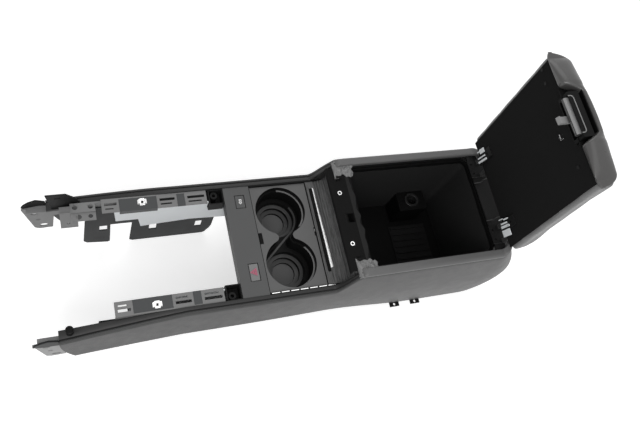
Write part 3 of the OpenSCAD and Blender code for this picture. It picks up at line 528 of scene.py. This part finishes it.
def slatPath(s, h):
    flat = shutter["bendX"] - shutter["start"]
    over = s - flat
    angle = np.clip(over / shutter["radius"], 0, np.pi / 2)
    rise = np.maximum(0, over - shutter["radius"] * np.pi / 2)
    x = np.where(over <= 0, shutter["start"] + s, shutter["bendX"] + (shutter["radius"] - h) * np.sin(angle))
    z = np.where(over <= 0, shutter["top"] + h,
                 shutter["top"] + shutter["radius"] - (shutter["radius"] - h) * np.cos(angle) + rise)
    return x, z


def buildCurtain():
    flat = shutter["bendX"] - shutter["start"]
    length = flat + shutter["radius"] * np.pi / 2 + shutter["straight"]
    s = np.linspace(0, length, 420)
    phase = (s / shutter["pitch"]) % 1.0
    wave = np.sin(np.pi * np.clip((phase - 0.1) / 0.8, 0, 1))
    ribs = shutter["rib"] * np.clip(wave, 0, 1) ** shutter["round"]
    x, z = slatPath(s, ribs)
    backX, backZ = slatPath(s, -shutter["thick"] + 0 * s)
    profile = np.concatenate([np.stack([x, z], -1), np.stack([backX, backZ], -1)[::-1]])
    across = np.linspace(-shutter["half"], shutter["half"], 5)
    rings = np.array([[(p[0], y, p[1]) for p in profile] for y in across])
    form = shellGrid(metres(rings))
    makeMesh("storedSlats", form, "curtain", "console", ["shutter_curtain"])


# The bar is a rounded ridge beside the finger slot: its half width grows from the far end to the near end,
# and its height follows the square root of one minus the fourth power of the place across it.
bar = {"x": 72.6, "y": (91.0, -73.0), "thin": 1.2, "wide": 2.9, "rise": 2.0, "foot": 206.3}


def buildBar():
    v, u = np.meshgrid(np.linspace(0, 1, 120), np.linspace(-1, 1, 17), indexing="ij")
    half = bar["thin"] + (bar["wide"] - bar["thin"]) * ease(v * 1.1)
    half = half * np.sqrt(np.clip(1 - np.clip((np.abs(v - 0.5) - 0.49) / 0.01, 0, 1) ** 2, 0.04, 1))
    x = bar["x"] - bar["thin"] + half * (u + 1)
    y = bar["y"][0] + (bar["y"][1] - bar["y"][0]) * v
    tall = bar["rise"] * (0.55 + 0.45 * half / bar["wide"])
    z = bar["foot"] + 0.05 + tall * np.sqrt(np.clip(1 - u ** 4, 0, 1))
    rings = np.stack([x, y, z], -1)
    base = rings[:, [-1, 0]].copy()
    base[..., 2] = bar["foot"]
    form = tubeGrid(metres(np.concatenate([rings, base], axis=1)))
    makeMesh("slatBar", form, "bright", "shutter", ["shutter_handle"])


buildCurtain()
buildBar()
print("shutter")


# The liner is a rounded box of felt: a ring round the bin at each height, with a wavy top edge. Faces are
# left out round the power outlet: between the two x, beyond the y and below the z.
well = {"x": (122.0, 392.0), "half": 100.0, "corner": 14.0, "inset": 3.2, "thick": 2.0, "floor": 60.2,
        "top": 252.6, "rows": 24, "wave": 1.6, "push": 0.5,
        "seatX": (287.0, 353.0), "seatY": 50.0, "seatZ": 122.0}


def binRing(inset, count=260):
    x0, x1 = well["x"][0] + inset, well["x"][1] - inset
    half = well["half"] - inset
    r = well["corner"] - inset
    points = []
    x0, x1, side = x0 + r, x1 - r, half - r
    for cx, cy, start in ((x1, side, 0), (x0, side, 90), (x0, -side, 180), (x1, -side, 270)):
        points += [(cx + r * math.cos(math.radians(a)), cy + r * math.sin(math.radians(a)))
                   for a in np.linspace(start, start + 90, 10)]
    points = np.array(points + [points[0]])
    gone = np.concatenate([[0], np.cumsum(np.linalg.norm(np.diff(points, axis=0), axis=1))])
    even = np.linspace(0, gone[-1], count, endpoint=False)
    return np.stack([np.interp(even, gone, points[:, 0]), np.interp(even, gone, points[:, 1])], -1)


def buildFelt():
    outer, inner = binRing(well["inset"]), binRing(well["inset"] + well["thick"])
    centre = np.array([sum(well["x"]) / 2, 0.0])
    sheets = []
    for ring, order in ((outer, 1), (inner, -1)):
        levels = []
        for i in range(well["rows"]):
            t = i / (well["rows"] - 1)
            wave = well["wave"] * wrinkle(np.column_stack([ring, np.zeros(len(ring))]), 0.05, 4.0) * t ** 6
            foot = well["floor"] + (well["thick"] if order < 0 else 0.0)
            z = foot + (well["top"] - well["thick"] - well["floor"]) * t + wave
            push = well["push"] * wrinkle(np.column_stack([ring, z]), 0.03, 9.0) if order < 0 else 0 * z
            towards = centre - ring
            towards /= np.linalg.norm(towards, axis=1)[:, None]
            flat = ring + towards * np.maximum(push, 0)[:, None]
            levels.append(np.column_stack([flat, z]))
        sheets.append(np.array(levels)[::order])
    rings = np.concatenate(sheets)
    low, high = well["seatX"]
    seat = (rings[..., 0] > low) & (rings[..., 0] < high) & (rings[..., 1] > well["seatY"])
    verts, faces = tubeGrid(metres(rings), ends=False)
    seat, heights = seat.reshape(-1), rings[..., 2].reshape(-1)
    keep = [face for face in faces if not (seat[face].all() and heights[face].min() < well["seatZ"])]
    makeMesh("binFelt", (verts, keep), "felt", "console", ["bin_liner"])


# A strip of felt lies over the rear part of the ledge, and its rear edge is wavy.
feltStrip = {"half": 97, "x": 119.6, "wide": 9.0, "noise": 6.5, "wave": 1.6,
             "lift": 0.5, "swell": 0.9, "fuzz": 0.35}


def buildFeltEdge():
    y = np.linspace(-feltStrip["half"], feltStrip["half"], 170)
    v = np.linspace(0, 1, 16)
    grid, along = np.meshgrid(y, v, indexing="ij")
    wave = feltStrip["noise"] * wrinkle(np.stack([grid * 0.055, 0 * grid, 0 * grid], -1), 1.0, 2.7)
    wave = wave + feltStrip["wave"] * np.sin(grid * 0.19 + 1.0)
    x = feltStrip["x"] + (feltStrip["wide"] + wave) * along
    z = size["ledge"] + feltStrip["lift"] + feltStrip["swell"] * np.sin(np.pi * along)
    z = z + feltStrip["fuzz"] * wrinkle(np.stack([x, grid, 0 * x], -1), 0.2, 1.0)
    top = np.stack([x, grid, z], -1)
    low = top.copy()
    low[..., 2] = size["ledge"] + 0.05
    ring = np.concatenate([top, low[:, ::-1]], axis=1)
    form = tubeGrid(metres(ring))
    makeMesh("feltEdge", form, "feltEdge", "console")


buildFelt()
buildFeltEdge()
print("felt")


# Each spring is a coil about the hinge axis, with one leg on the deck. The leg's corners: in front of the
# axis, inwards from the coil's end, and height.
spring = {"radius": 6.4, "wire": 1.05, "turns": 3.6, "start": 50.6, "pitch": 2.5,
          "leg": [(8.0, 0.6, 284.0), (8.8, 1.0, 272.0), (23.0, 1.0, 270.4)]}


def buildSprings():
    parts = []
    for sign in (1, -1):
        turns = np.linspace(0, spring["turns"] * 2 * np.pi, 150)
        x = size["hingeX"] - spring["radius"] * np.cos(turns)
        z = size["hingeZ"] - spring["radius"] * np.sin(turns)
        y = spring["start"] - spring["pitch"] * turns / (2 * np.pi)
        coil = np.stack([x, y, z], -1)
        last = coil[-1]
        bend, foot, tip = (np.array([size["hingeX"] - ahead, last[1] - inward, height])
                           for ahead, inward, height in spring["leg"])
        leg = np.concatenate([np.linspace(last, bend, 8)[1:], np.linspace(bend, foot, 10)[1:],
                              np.linspace(foot, tip, 8)[1:]])
        path = np.concatenate([coil, leg])
        parts.append(wireTube(metres(mirrored(path, sign)), spring["wire"] / 1000))
    form = joinParts(parts)
    makeMesh("hingeSprings", form, "latchDark", "console", ["hinge_springs"])


buildSprings()
print("springs")


# A mark is a thin flat outline on the key: each ring of corners is swept between two sizes.
def outlineMark(name, centre, radii, turn, material, body, corners=3, z=207.15):
    points = []
    for radius, height in ((radii[0], z), (radii[0], z + 0.12), (radii[1], z + 0.12), (radii[1], z)):
        angle = np.radians(turn + np.arange(corners) * 360.0 / corners)
        points.append(np.stack([centre[0] + radius * np.cos(angle), centre[1] + radius * np.sin(angle),
                                np.full(corners, height)], -1))
    rings = np.array(points + [points[0]])
    form = tubeGrid(metres(rings), ends=False)
    makeMesh(name, form, material, body, smooth=False)


# An inlay is a thin flat plate: an outline in the plan, lifted a little from the surface that it lies on.
def inlay(name, outline, z, material, body, thick=0.15):
    outline = np.array(outline, dtype=float)
    rings = np.array([np.column_stack([outline, np.full(len(outline), h)]) for h in (z, z + thick)])
    form = tubeGrid(metres(rings))
    makeMesh(name, form, material, body, smooth=False)


# The same on the lid's inner face: four corners drawn with the lid shut, between two heights.
lidPlate = {"low": 273.4, "high": 274.4}


def inlayOn(name, outline):
    ring = np.array(outline, dtype=float)
    ring = ring if np.cross(ring[1] - ring[0], ring[2] - ring[0]) > 0 else ring[::-1]
    heights = (lidPlate["low"], lidPlate["high"])
    verts = np.concatenate([np.column_stack([ring, np.full(4, h)]) for h in heights])
    faces = [[3, 2, 1, 0], [4, 5, 6, 7]] + [[i, (i + 1) % 4, (i + 1) % 4 + 4, i + 4] for i in range(4)]
    makeMesh(name, (toOpen(metres(verts)), faces), "pale", "lid", smooth=False)


def strip(x0, x1, y0, y1):
    return [(x0, y0), (x1, y0), (x1, y1), (x0, y1)]


def frameInlay(name, x, y, wide, z, material, body):
    (x0, x1), (y0, y1) = x, y
    sides = [strip(x0 - wide, x0, y0 - wide, y1 + wide), strip(x1, x1 + wide, y0 - wide, y1 + wide),
             strip(x0, x1, y0 - wide, y0), strip(x0, x1, y1, y1 + wide)]
    for i, side in enumerate(sides):
        inlay(name + str(i), side, z, material, body)


# Each arm's square hole has painted shade: four dark corner patches round its middle (x, y), and a dark
# middle.
clip = {"x": -250.0, "y": 95.5, "z": 206.02, "along": (4.5, 8.05), "across": (4.2, 6.55),
        "middle": [(-2.6, -2.2), (1.6, -2.9), (2.4, 1.8), (-1.4, 2.6)]}
gap = {"panel": (-52.6, -51.4), "insert": (58.3, 59.5), "half": 103.5, "z": 203.55}

inlay("fingerGap", strip(64.6, 71.2, -79.0, 90.5), 206.32, "black", "shutter", 0.1)
# Painted shade on each arm's spring clip: dark corners and a dark middle.
for sign in (1, -1):
    middleY = sign * clip["y"]
    for i, (dx, dy) in enumerate(((1, 1), (1, -1), (-1, 1), (-1, -1))):
        x = sorted(clip["x"] + reach * dx for reach in clip["along"])
        y = sorted(middleY + reach * dy for reach in clip["across"])
        inlay("clipCornerShade%s%d" % (sideName(sign), i), strip(*x, *y), clip["z"], "cover", "console", 0.1)
    inlay("clipMiddleShade" + sideName(sign), [(clip["x"] + dx, middleY + dy) for dx, dy in clip["middle"]],
          clip["z"], "black", "console", 0.1)
for name in ("panel", "insert"):
    inlay(name + "Gap", strip(*gap[name], -gap["half"], gap["half"]), gap["z"], "seam", "console")
inlay("insertNotch", strip(56.6, 59.3, -6.0, 11.0), 203.55, "black", "console", 0.3)
# A painted highlight on the edge of the insert's notch.
inlay("notchGlint", [(57.0, 2.0), (58.6, 3.0), (58.9, 8.0), (57.2, 7.0)], 203.9, "lip", "console", 0.5)
frameInlay("hazardFrame", (-82.2, -64.8), (-79.2, -44.8), 1.5, 205.05, "black", "console")
frameInlay("secondFrame", (-84.7, -63.5), (63.8, 90.2), 1.0, 205.05, "black", "console")


# The step between the wells shows as a narrow S: half a circle of one well, the line that touches both
# circles on opposite sides, and half a circle of the other well.
band = {"radius": 39.0, "wide": 3.6, "gap": 104.0, "z": 157.7, "thick": 0.8, "start": 215}


def buildBand():
    half = band["gap"] / 2
    tilt = math.asin(band["radius"] / half)
    near = np.radians(np.linspace(band["start"], 180 - math.degrees(tilt), 40))
    first = np.column_stack([band["radius"] * np.cos(near), -half + band["radius"] * np.sin(near)])
    second = -first[::-1]
    path = np.concatenate([first, second])
    ahead = np.gradient(path, axis=0)
    ahead /= np.linalg.norm(ahead, axis=1)[:, None]
    side = np.stack([-ahead[:, 1], ahead[:, 0]], -1)
    flat = np.zeros(len(path))
    low, high, wide = band["z"], band["z"] + band["thick"], band["wide"] / 2
    rings = [np.column_stack([path + side * w, flat + z])
             for w, z in ((-wide, low), (wide, low), (wide, high), (-wide, high))]
    form = tubeGrid(metres(np.stack(rings, axis=1)))
    makeMesh("wellBand", form, "ring", "console")


buildBand()
# The slots in the ledge, and the marks on the keys: their middles, and the outer and inner radius of each.
slots = {"corners": ((100.5, 80.0), (114.0, 79.0), (114.5, 84.0), (101.0, 84.6)), "z": 266.6}
marks = {"hazard": (-73.5, -62.0), "outer": (8.4, 6.2), "inner": (4.6, 2.4),
         "second": ((-74.0, 74.8), (-73.6, 79.2)), "star": (3.5, 1.2)}
for sign in (1, -1):
    corners = [(x, sign * y) for x, y in slots["corners"]]
    inlay("ledgeSlot" + sideName(sign), corners[::sign], slots["z"], "black", "console", 0.4)
for ring in ("outer", "inner"):
    outlineMark("hazardMark" + ring.title(), marks["hazard"], marks[ring], 180, "red", "hazard_button")
for i, centre in enumerate(marks["second"]):
    outlineMark("secondMark%d" % i, centre, marks["star"], 45 * i, "white", "second_button", 4)


def copyNode(name, node):
    # A copy of one of the construction's pieces, with its coplanar triangles joined.
    source = nodes[node]
    piece = source.copy()
    piece.data = source.data.copy()
    piece.name = name
    bpy.context.scene.collection.objects.link(piece)
    piece.parent = None
    piece.matrix_world = Matrix.Identity(4)
    edit = bmesh.new()
    edit.from_mesh(piece.data)
    bmesh.ops.remove_doubles(edit, verts=edit.verts, dist=2e-6)
    bmesh.ops.dissolve_limit(edit, angle_limit=math.radians(0.6), verts=edit.verts, edges=edit.edges)
    edit.to_mesh(piece.data)
    edit.free()
    return piece


def applyModifiers(piece):
    bpy.context.view_layer.update()
    shown = piece.evaluated_get(bpy.context.evaluated_depsgraph_get())
    mesh = bpy.data.meshes.new_from_object(shown)
    piece.modifiers.clear()
    piece.data = mesh


def turnLid(points, degrees):
    # Turns points about the hinge by an angle a: x cos a - z sin a, and x sin a + z cos a.
    angle = math.radians(degrees)
    pivot = np.array([(size["hingeX"] - size["origin"]) / 1000, 0, size["hingeZ"] / 1000])
    x, y, z = np.moveaxis(points - pivot, -1, 0)
    c, s = math.cos(angle), math.sin(angle)
    return np.stack([x * c - z * s, y, x * s + z * c], -1) + pivot


def toShut(points):
    return turnLid(points, size["open"])


def toOpen(points):
    return turnLid(points, -size["open"])


def meshPoints(piece):
    points = np.zeros(len(piece.data.vertices) * 3)
    piece.data.vertices.foreach_get("co", points)
    return points.reshape(-1, 3)


def setPoints(piece, points):
    piece.data.vertices.foreach_set("co", np.asarray(points, dtype=np.float32).reshape(-1))
    piece.data.update()


# The pad is the construction's pad, a little smaller, remeshed and blown up as stuffed leather (in metres).
# The swelling stops at "cap", fades in above the pad's foot, and keeps to "top" and "rear" outside it.
pad = {"voxel": 0.0045, "frames": 20, "pressure": 4.0, "cap": 0.005, "shrink": 0.0022, "across": 1.7,
       "down": 1.3, "foot": 0.004, "fade": 0.012, "top": 0.004, "rear": 0.003, "smooth": 8}


def buildPad():
    piece = copyNode("lidPad", "lid_pad")
    remesh = piece.modifiers.new("remesh", "REMESH")
    remesh.mode = "VOXEL"
    remesh.voxel_size = pad["voxel"]
    applyModifiers(piece)
    start = toShut(meshPoints(piece))
    low, high = start.min(0), start.max(0)
    middle = (low + high) / 2
    flat = (start[:, 2] - low[2]) / (high[2] - low[2])
    less = pad["shrink"] * 2 / (high - low) * np.array([1, pad["across"], 0])
    start = middle + (start - middle) * (1 - less)
    start[:, 2] -= pad["shrink"] * pad["down"] * ease(flat)
    setPoints(piece, toOpen(start))
    cloth = piece.modifiers.new("cloth", "CLOTH")
    settings = cloth.settings
    settings.use_pressure = True
    settings.uniform_pressure_force = pad["pressure"]
    settings.effector_weights.gravity = 0.0
    settings.tension_stiffness = 40
    settings.bending_stiffness = 3
    cloth.point_cache.frame_end = pad["frames"]
    for step in range(1, pad["frames"] + 1):
        bpy.context.scene.frame_set(step)
    applyModifiers(piece)
    bpy.context.scene.frame_set(1)
    moved = toShut(meshPoints(piece)) - start
    reach = np.linalg.norm(moved, axis=1)
    moved *= np.minimum(1, pad["cap"] / np.maximum(reach, 1e-9))[:, None]
    moved *= ease((start[:, 2] - low[2] - pad["foot"]) / pad["fade"])[:, None]
    points = start + moved
    points[:, 2] = np.clip(points[:, 2], low[2], high[2] + pad["top"])
    points[:, 0] = np.clip(points[:, 0], low[0], high[0] + pad["rear"])
    setPoints(piece, toOpen(points))
    smooth = piece.modifiers.new("smooth", "SMOOTH")
    smooth.factor = 0.5
    smooth.iterations = pad["smooth"]
    fine = piece.modifiers.new("fine", "SUBSURF")
    fine.levels = fine.render_levels = 1
    applyModifiers(piece)
    dress(piece, "lid", angle=180)
    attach(piece, "lid")
    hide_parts("lid_pad")
    print("lid pad", len(piece.data.polygons))


buildPad()


# The nose is a loft across the lid, drawn with the lid shut: each section is a soft ring in x and z.
# Its front is a bow with rounded ends. Its underside rises along a smooth S to the slab where the finger
# notch is ("off" from the middle), and swells a little beside it.
nose = {"front": 83.0, "back": 107.0, "half": 121.5, "bow": 320.0, "low": 272.0, "high": 314.8, "end": 30.0,
        "tip": 22.0, "notch": 44.5, "off": 3.5, "turn": 22.0, "slab": 301.3, "swell": 0.4, "soft": 5.0,
        "sweep": 15.0, "step": 6.0, "rise": 0.22, "deep": 0.88, "upper": 24.0, "lower": 13.0, "wide": 9.0}


def noseSections():
    # At each y: the front's x, and the lower and upper height.
    # Front = bow radius less the root of its square minus y squared. Ends = root of one minus a power.
    y = nose["half"] * np.sin(np.linspace(-np.pi / 2, np.pi / 2, 200))
    y = np.sort(np.concatenate([y, np.linspace(-60, 60, 141)]))
    beyond = np.abs(y) - nose["half"]
    full = np.sqrt(np.clip(1 - np.clip(beyond / nose["end"] + 1, 0, 1) ** 2.6, 0.04, 1))
    tip = np.sqrt(np.clip(1 - np.clip(beyond / nose["tip"] + 1, 0, 1) ** 2, 0.12, 1))
    off = np.abs(y - nose["off"])
    front = nose["front"] + nose["bow"] - np.sqrt(nose["bow"] ** 2 - y ** 2) + nose["sweep"] * (1 - full)
    front = np.minimum(front, nose["back"] - 3.0)
    share = 1 - ease((off - nose["notch"]) / nose["turn"] + 0.5)
    swell = np.clip((off - nose["notch"]) / (nose["half"] - nose["notch"]), 0, 1)
    low = nose["low"] - nose["swell"] * np.sin(np.pi * swell) ** 0.6
    low = low + (nose["slab"] - low) * share
    high = nose["low"] + (nose["high"] - nose["low"]) * tip
    low = low + nose["rise"] * (nose["high"] - nose["low"]) * (1 - tip)
    return y, front + nose["step"] * share, low, high


def arc(cx, cz, rx, rz, start, end, count):
    turn = np.radians(np.linspace(start, end, count))
    return np.stack([cx[:, None] + rx[:, None] * np.cos(turn), cz[:, None] + rz[:, None] * np.sin(turn)], -1)


def buildNose():
    y, front, low, high = noseSections()
    back = np.full_like(y, nose["back"])
    tall, deep = high - low, nose["deep"] * (back - front)
    soft = np.minimum(nose["soft"], 0.28 * tall)
    upper, lower = np.minimum(nose["upper"], 0.7 * tall), np.minimum(nose["lower"], 0.28 * tall)
    wide = np.minimum(nose["wide"], 0.5 * deep)
    section = np.concatenate([
        np.stack([back, high], -1)[:, None],
        arc(front + deep, high - upper, deep, upper, 90, 180, 16),
        arc(front + wide, low + lower, wide, lower, 180, 270, 12),
        arc(back - soft, low + soft, soft, soft, 270, 360, 12),
        np.stack([back, low + soft + 0.01], -1)[:, None]], axis=1)
    across = np.repeat(y[:, None, None], section.shape[1], 1)
    rings = np.concatenate([section[..., :1], across, section[..., 1:]], -1)
    rings[..., 0] += 0.35 * wrinkle(rings, 0.045, 6.0)
    rings[..., 0] = np.minimum(rings[..., 0], nose["back"])
    form = tubeGrid(toOpen(metres(rings)))
    makeMesh("lidNose", form, "nose", "lid", ["lid_nose"])
    print("lid nose", len(rings))


# The finger notch is dark inside: a black L-shaped sheet carried across the lid.
lining = {"y": (-49, 53), "profile": [(107.1, 271.6), (106.3, 271.6), (106.3, 300.0),
                                      (91.5, 300.0), (91.5, 301.0), (107.1, 301.0)]}


def buildNotchDarkSheet():
    y = np.linspace(*lining["y"], 9)
    rings = np.array([[(x, across, z) for x, z in lining["profile"]] for across in y])
    form = tubeGrid(toOpen(metres(rings)))
    makeMesh("notchDarkSheet", form, "black", "lid", smooth=False)


buildNose()
buildNotchDarkSheet()


# A light rim runs round the handle on the front of its housing: a wire along a U with round corners.
latchEdge = {"x": 91.9, "half": 32.5, "low": 272.6, "high": 280.6, "round": 5.0, "wire": 0.85}


def buildLatchRim():
    path = [(latchEdge["half"], latchEdge["low"])]
    r = latchEdge["round"]
    for sign, start in ((1, 0), (-1, 90)):
        turn = np.radians(np.linspace(start, start + 90, 10))
        path += [(sign * (latchEdge["half"] - r) + r * math.cos(a), latchEdge["high"] - r + r * math.sin(a))
                 for a in turn]
    path.append((-latchEdge["half"], latchEdge["low"]))
    points = np.array([(latchEdge["x"], y, z) for y, z in path])
    verts, faces = wireTube(metres(points), latchEdge["wire"] / 1000)
    makeMesh("latchRim", (toOpen(verts), faces), "latch", "lid")


buildLatchRim()


# The construction's other pieces: the finish of each, and the width of its softened edges.
softened = [
    ("pale", 0.4, "side_liner_near side_liner_far"), ("bracket", 0.4, "arm_bracket_near arm_bracket_far"),
    ("cover", 0.5, "arm_cover_near arm_cover_far"), ("flap", 0.5, "closeout_near closeout_far"),
    # The near front bracket takes the lighter copy of the bracket grey, as painted light.
    ("bracketPaintedLight", 0.5, "front_bracket_near"), ("bracket", 0.5, "front_bracket_far"),
    ("flap", 0.8, "front_nose_near"), ("dark", 0.8, "front_nose_far"), ("bracket", 0.4, "harness_bracket"),
    ("dark", 0.5, "upper_tab"), ("black", 0.4, "push_pin"), ("dark", 0.5, "corner_box_near corner_box_far"),
    ("panel", 0.7, "switch_panel"), ("black", 0.3, "switch_housings deck_frame"),
    ("black", 0.2, "release_tab"), ("black", 0.3, "track_near track_far"), ("chrome", 0.2, "track_strip"),
    ("black", 0.5, "storage_bin"), ("rubber", 0.6, "bin_mat"), ("outlet", 0.6, "power_outlet"),
    ("ledge", 0.6, "bin_ledge"), ("dark", 0.5, "hinge_deck"), ("steel", 0.3, "hinge_pins"),
    ("rear", 0.6, "rear_panel"), ("black", 0.5, "base_frame"), ("dark", 0.6, "side_clips"),
    ("hazard", 0.6, "hazard_switch"), ("panel", 0.6, "second_switch"), ("lining", 0.5, "lid_inner"),
    ("black", 0.5, "latch_housing"), ("chrome", 0.2, "lid_clip"), ("rubber", 0.3, "lid_bumpers"),
    ("latch", 0.4, "latch_hook"), ("chrome", 0.2, "spring_clips"),
]


def soften(node, material, width):
    body = next(b for b, names in frame["record"]["behaviour"]["bodies"].items() if node in names)
    piece = copyNode("soft_" + node, node)
    dress(piece, material, angle=32)
    edge = piece.modifiers.new("edge", "BEVEL")
    edge.width = width / 1000
    edge.segments = 2
    edge.limit_method = "ANGLE"
    edge.angle_limit = math.radians(40)
    edge.harden_normals = True
    edge.use_clamp_overlap = True
    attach(piece, body)
    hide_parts(node)
    return piece


for material, width, names in softened:
    for node in names.split():
        soften(node, material, width)


# Faces of a copy are painted by a rule on their middle (mm from the cup centres) and their upward slope.
def paintFaces(piece, rule):
    mesh = piece.data
    count = len(mesh.polygons)
    middle, normal = np.zeros(count * 3), np.zeros(count * 3)
    mesh.polygons.foreach_get("center", middle)
    mesh.polygons.foreach_get("normal", normal)
    middle = middle.reshape(-1, 3) * 1000 + np.array([size["origin"], 0, 0])
    names = rule(middle, normal.reshape(-1, 3))
    used = sorted(set(names))
    mesh.materials.clear()
    for name in used:
        mesh.materials.append(mats[name])
    mesh.polygons.foreach_set("material_index", [used.index(n) for n in names])


# The cup insert by depth below its top. The narrow lip carries a painted highlight only behind "lipX" and
# further out than "lipY", so its faces are cut along those planes first.
cups = {"top": 2.5, "shelf": (44, 48), "floor": 70, "lip": (12, 14),
        "lipX": 4.0, "lipY": 21.0, "cut": (190.0, 191.0)}


def insertRule(middle, normal):
    depth = size["deck"] - 1.5 - middle[:, 2]
    level = np.abs(normal[:, 2]) > 0.5
    names = np.where(depth < cups["top"], "insert", np.where(level, "ring", "black"))
    names = np.where(level & (depth > cups["floor"]), "floor", names)
    for low, high in (cups["shelf"], cups["lip"]):
        names = np.where(level & (depth > low) & (depth < high), "black", names)
    # The painted highlight lies on the lip's level faces behind lipX and beyond lipY.
    lip = level & (depth > low) & (depth < high)
    return np.where(lip & (middle[:, 0] > cups["lipX"]) & (np.abs(middle[:, 1]) > cups["lipY"]), "lip", names)


def cutFaces(piece, low, high, planes):
    edit = bmesh.new()
    edit.from_mesh(piece.data)
    for place, normal in planes:
        chosen = [f for f in edit.faces if low < f.calc_center_median().z * 1000 < high]
        parts = list({e for f in chosen for e in f.edges}) + list({v for f in chosen for v in f.verts})
        parts += chosen
        bmesh.ops.bisect_plane(edit, geom=parts, plane_co=place, plane_no=normal, dist=1e-6)
    edit.to_mesh(piece.data)
    edit.free()


insertPiece = soften("cup_insert", "insert", 0.6)
cutFaces(insertPiece, *cups["cut"], [
    (((cups["lipX"] - size["origin"]) / 1000, 0, 0), (1, 0, 0)),
    ((0, cups["lipY"] / 1000, 0), (0, 1, 0)), ((0, -cups["lipY"] / 1000, 0), (0, 1, 0))])
paintFaces(insertPiece, insertRule)


# Each screw head has a black socket: the faces near its middle and below its rim.
screw = {"x": 101.0, "y": 50.6, "socket": 2.6, "rise": 1.9}


def screwRule(middle, normal):
    away = np.hypot(middle[:, 0] - screw["x"], np.abs(middle[:, 1]) - screw["y"])
    low = middle[:, 2] < size["ledge"] + screw["rise"]
    return np.where((away < screw["socket"]) & low, "black", "chrome")


paintFaces(soften("ledge_screws", "chrome", 0.3), screwRule)


def handleRule(middle, normal):
    return np.where(normal[:, 2] > 0.6, "latch", "latchDark")


def leafRule(middle, normal):
    return np.where(middle[:, 2] > 272.5, "latchDark", "dark")


paintFaces(soften("latch_handle", "latch", 0.8), handleRule)
for side in ("near", "far"):
    paintFaces(soften("hinge_leaf_" + side, "steel", 0.5), leafRule)
soften("hinge_arms", "dark", 0.2)


# Pale strips on the lid beside the hinges, where the bright hinge metal is, drawn with the lid shut; their
# brightness is a painted reflection. Each is a slanted four-sided sheet: its place across at the hinge end,
# its place across at the far end, and its reach along x.
paintedReflections = {"near": [(-53.5, -55.5, 383, 396), (-58.0, -60.5, 365, 381), (-62.5, -65.5, 372, 394),
                   (-67.5, -72.5, 370, 396), (-76.0, -89.0, 370, 397), (-72.5, -76.0, 367, 373)],
          "far": [(75.5, 78.0, 369, 397), (67.5, 71.5, 367, 399),
                  (81.0, 90.0, 366, 383), (87.0, 89.5, 383, 392)]}
for side, rows in paintedReflections.items():
    for i, (inner, outer, low, high) in enumerate(rows):
        lean = 0.16 * (high - low)
        corners = [(low, inner - lean), (low, outer - lean), (high, outer), (high, inner)]
        inlayOn("hingeReflection%s%d" % (side.title(), i), corners)

# The finger slot in the leading slat is black inside.
slotBox = {"x": (64.9, 71.4), "top": 206.1, "middle": 5, "half": 85.8}


def leadRule(middle, normal):
    x, y, z = middle.T
    inside = (x > slotBox["x"][0]) & (x < slotBox["x"][1]) & (z < slotBox["top"])
    return np.where(inside & (np.abs(y - slotBox["middle"]) < slotBox["half"]), "black", "shutter")


paintFaces(soften("shutter_lead", "shutter", 0.3), leadRule)
print("softened pieces")


def light(name, place, aim, power, width):
    data = bpy.data.lights.new(name, "AREA")
    data.energy = power
    data.size = width
    lamp = bpy.data.objects.new(name, data)
    bpy.context.scene.collection.objects.link(lamp)
    lamp.location = place
    lamp.rotation_euler = (Vector(aim) - Vector(place)).to_track_quat("-Z", "Y").to_euler()


# The floor and the sky are white where the camera or a shiny surface sees them, and light the object less.
studio = {"sky": 0.38, "floorGlow": 0.6, "half": 6.0, "floor": -0.0006, "lamps": [
    ("key", (-0.9, -1.6, 2.2), (0.0, 0.0, 0.1), 30, 1.4),
    ("back", (0.2, 2.0, 1.8), (0.1, 0.0, 0.3), 9, 1.6),
    ("top", (0.1, 0.0, 2.6), (0.0, 0.0, 0.2), 7, 1.8)]}


def seenDirectly(tree):
    path = tree.nodes.new("ShaderNodeLightPath")
    camera, glossy, through = (Wire(tree, path.outputs[n]) for n in
                               ("Is Camera Ray", "Is Glossy Ray", "Is Transmission Ray"))
    return camera.math("MAXIMUM", glossy.math("MAXIMUM", through))


def buildStage():
    half = studio["half"]
    mesh = bpy.data.meshes.new("floor")
    corners = strip(-half, half, -half, half)
    mesh.from_pydata([(x, y, studio["floor"]) for x, y in corners], [], [(0, 1, 2, 3)])
    floor = bpy.data.objects.new("floor", mesh)
    bpy.context.scene.collection.objects.link(floor)
    white = Surface("floorWhite", (0.82, 0.82, 0.82), 0.9, 0.1)
    white.shader.inputs["Emission Strength"].default_value = 1.0
    white.feed("Emission Color", seenDirectly(white.tree), [studio["floorGlow"]] * 3)
    mesh.materials.append(white.material)
    world = bpy.data.worlds.new("studio")
    bpy.context.scene.world = world
    world.use_nodes = True
    sky = world.node_tree.nodes["Background"]
    sky.inputs["Color"].default_value = (1, 1, 1, 1)
    glow = seenDirectly(world.node_tree) * (1 - studio["sky"]) + studio["sky"]
    plug(world.node_tree, glow, sky.inputs["Strength"])
    for name, place, aim, power, width in studio["lamps"]:
        light(name, place, aim, power, width)


# The camera was fitted to the photograph's corners: place, three directions and lens.
shot = {"sensor": 36.0, "lens": 39.07, "place": (-0.66957, -0.41217, 1.37351),
        "right": (0.93422198, -0.22235494, 0.27890423), "up": (0.10097259, 0.91479437, 0.39109563),
        "ahead": (0.34210207, 0.33720845, -0.87707276)}


def buildCamera():
    data = bpy.data.cameras.new("camera")
    data.sensor_width = shot["sensor"]
    data.lens = shot["lens"]
    data.clip_end = 50
    camera = bpy.data.objects.new("camera", data)
    bpy.context.scene.collection.objects.link(camera)
    turn = Matrix((Vector(shot["right"]), Vector(shot["up"]), -Vector(shot["ahead"]))).transposed().to_4x4()
    camera.matrix_world = Matrix.Translation(Vector(shot["place"])) @ turn
    bpy.context.scene.camera = camera


buildStage()
buildCamera()
bpy.context.scene.view_settings.view_transform = "Standard"
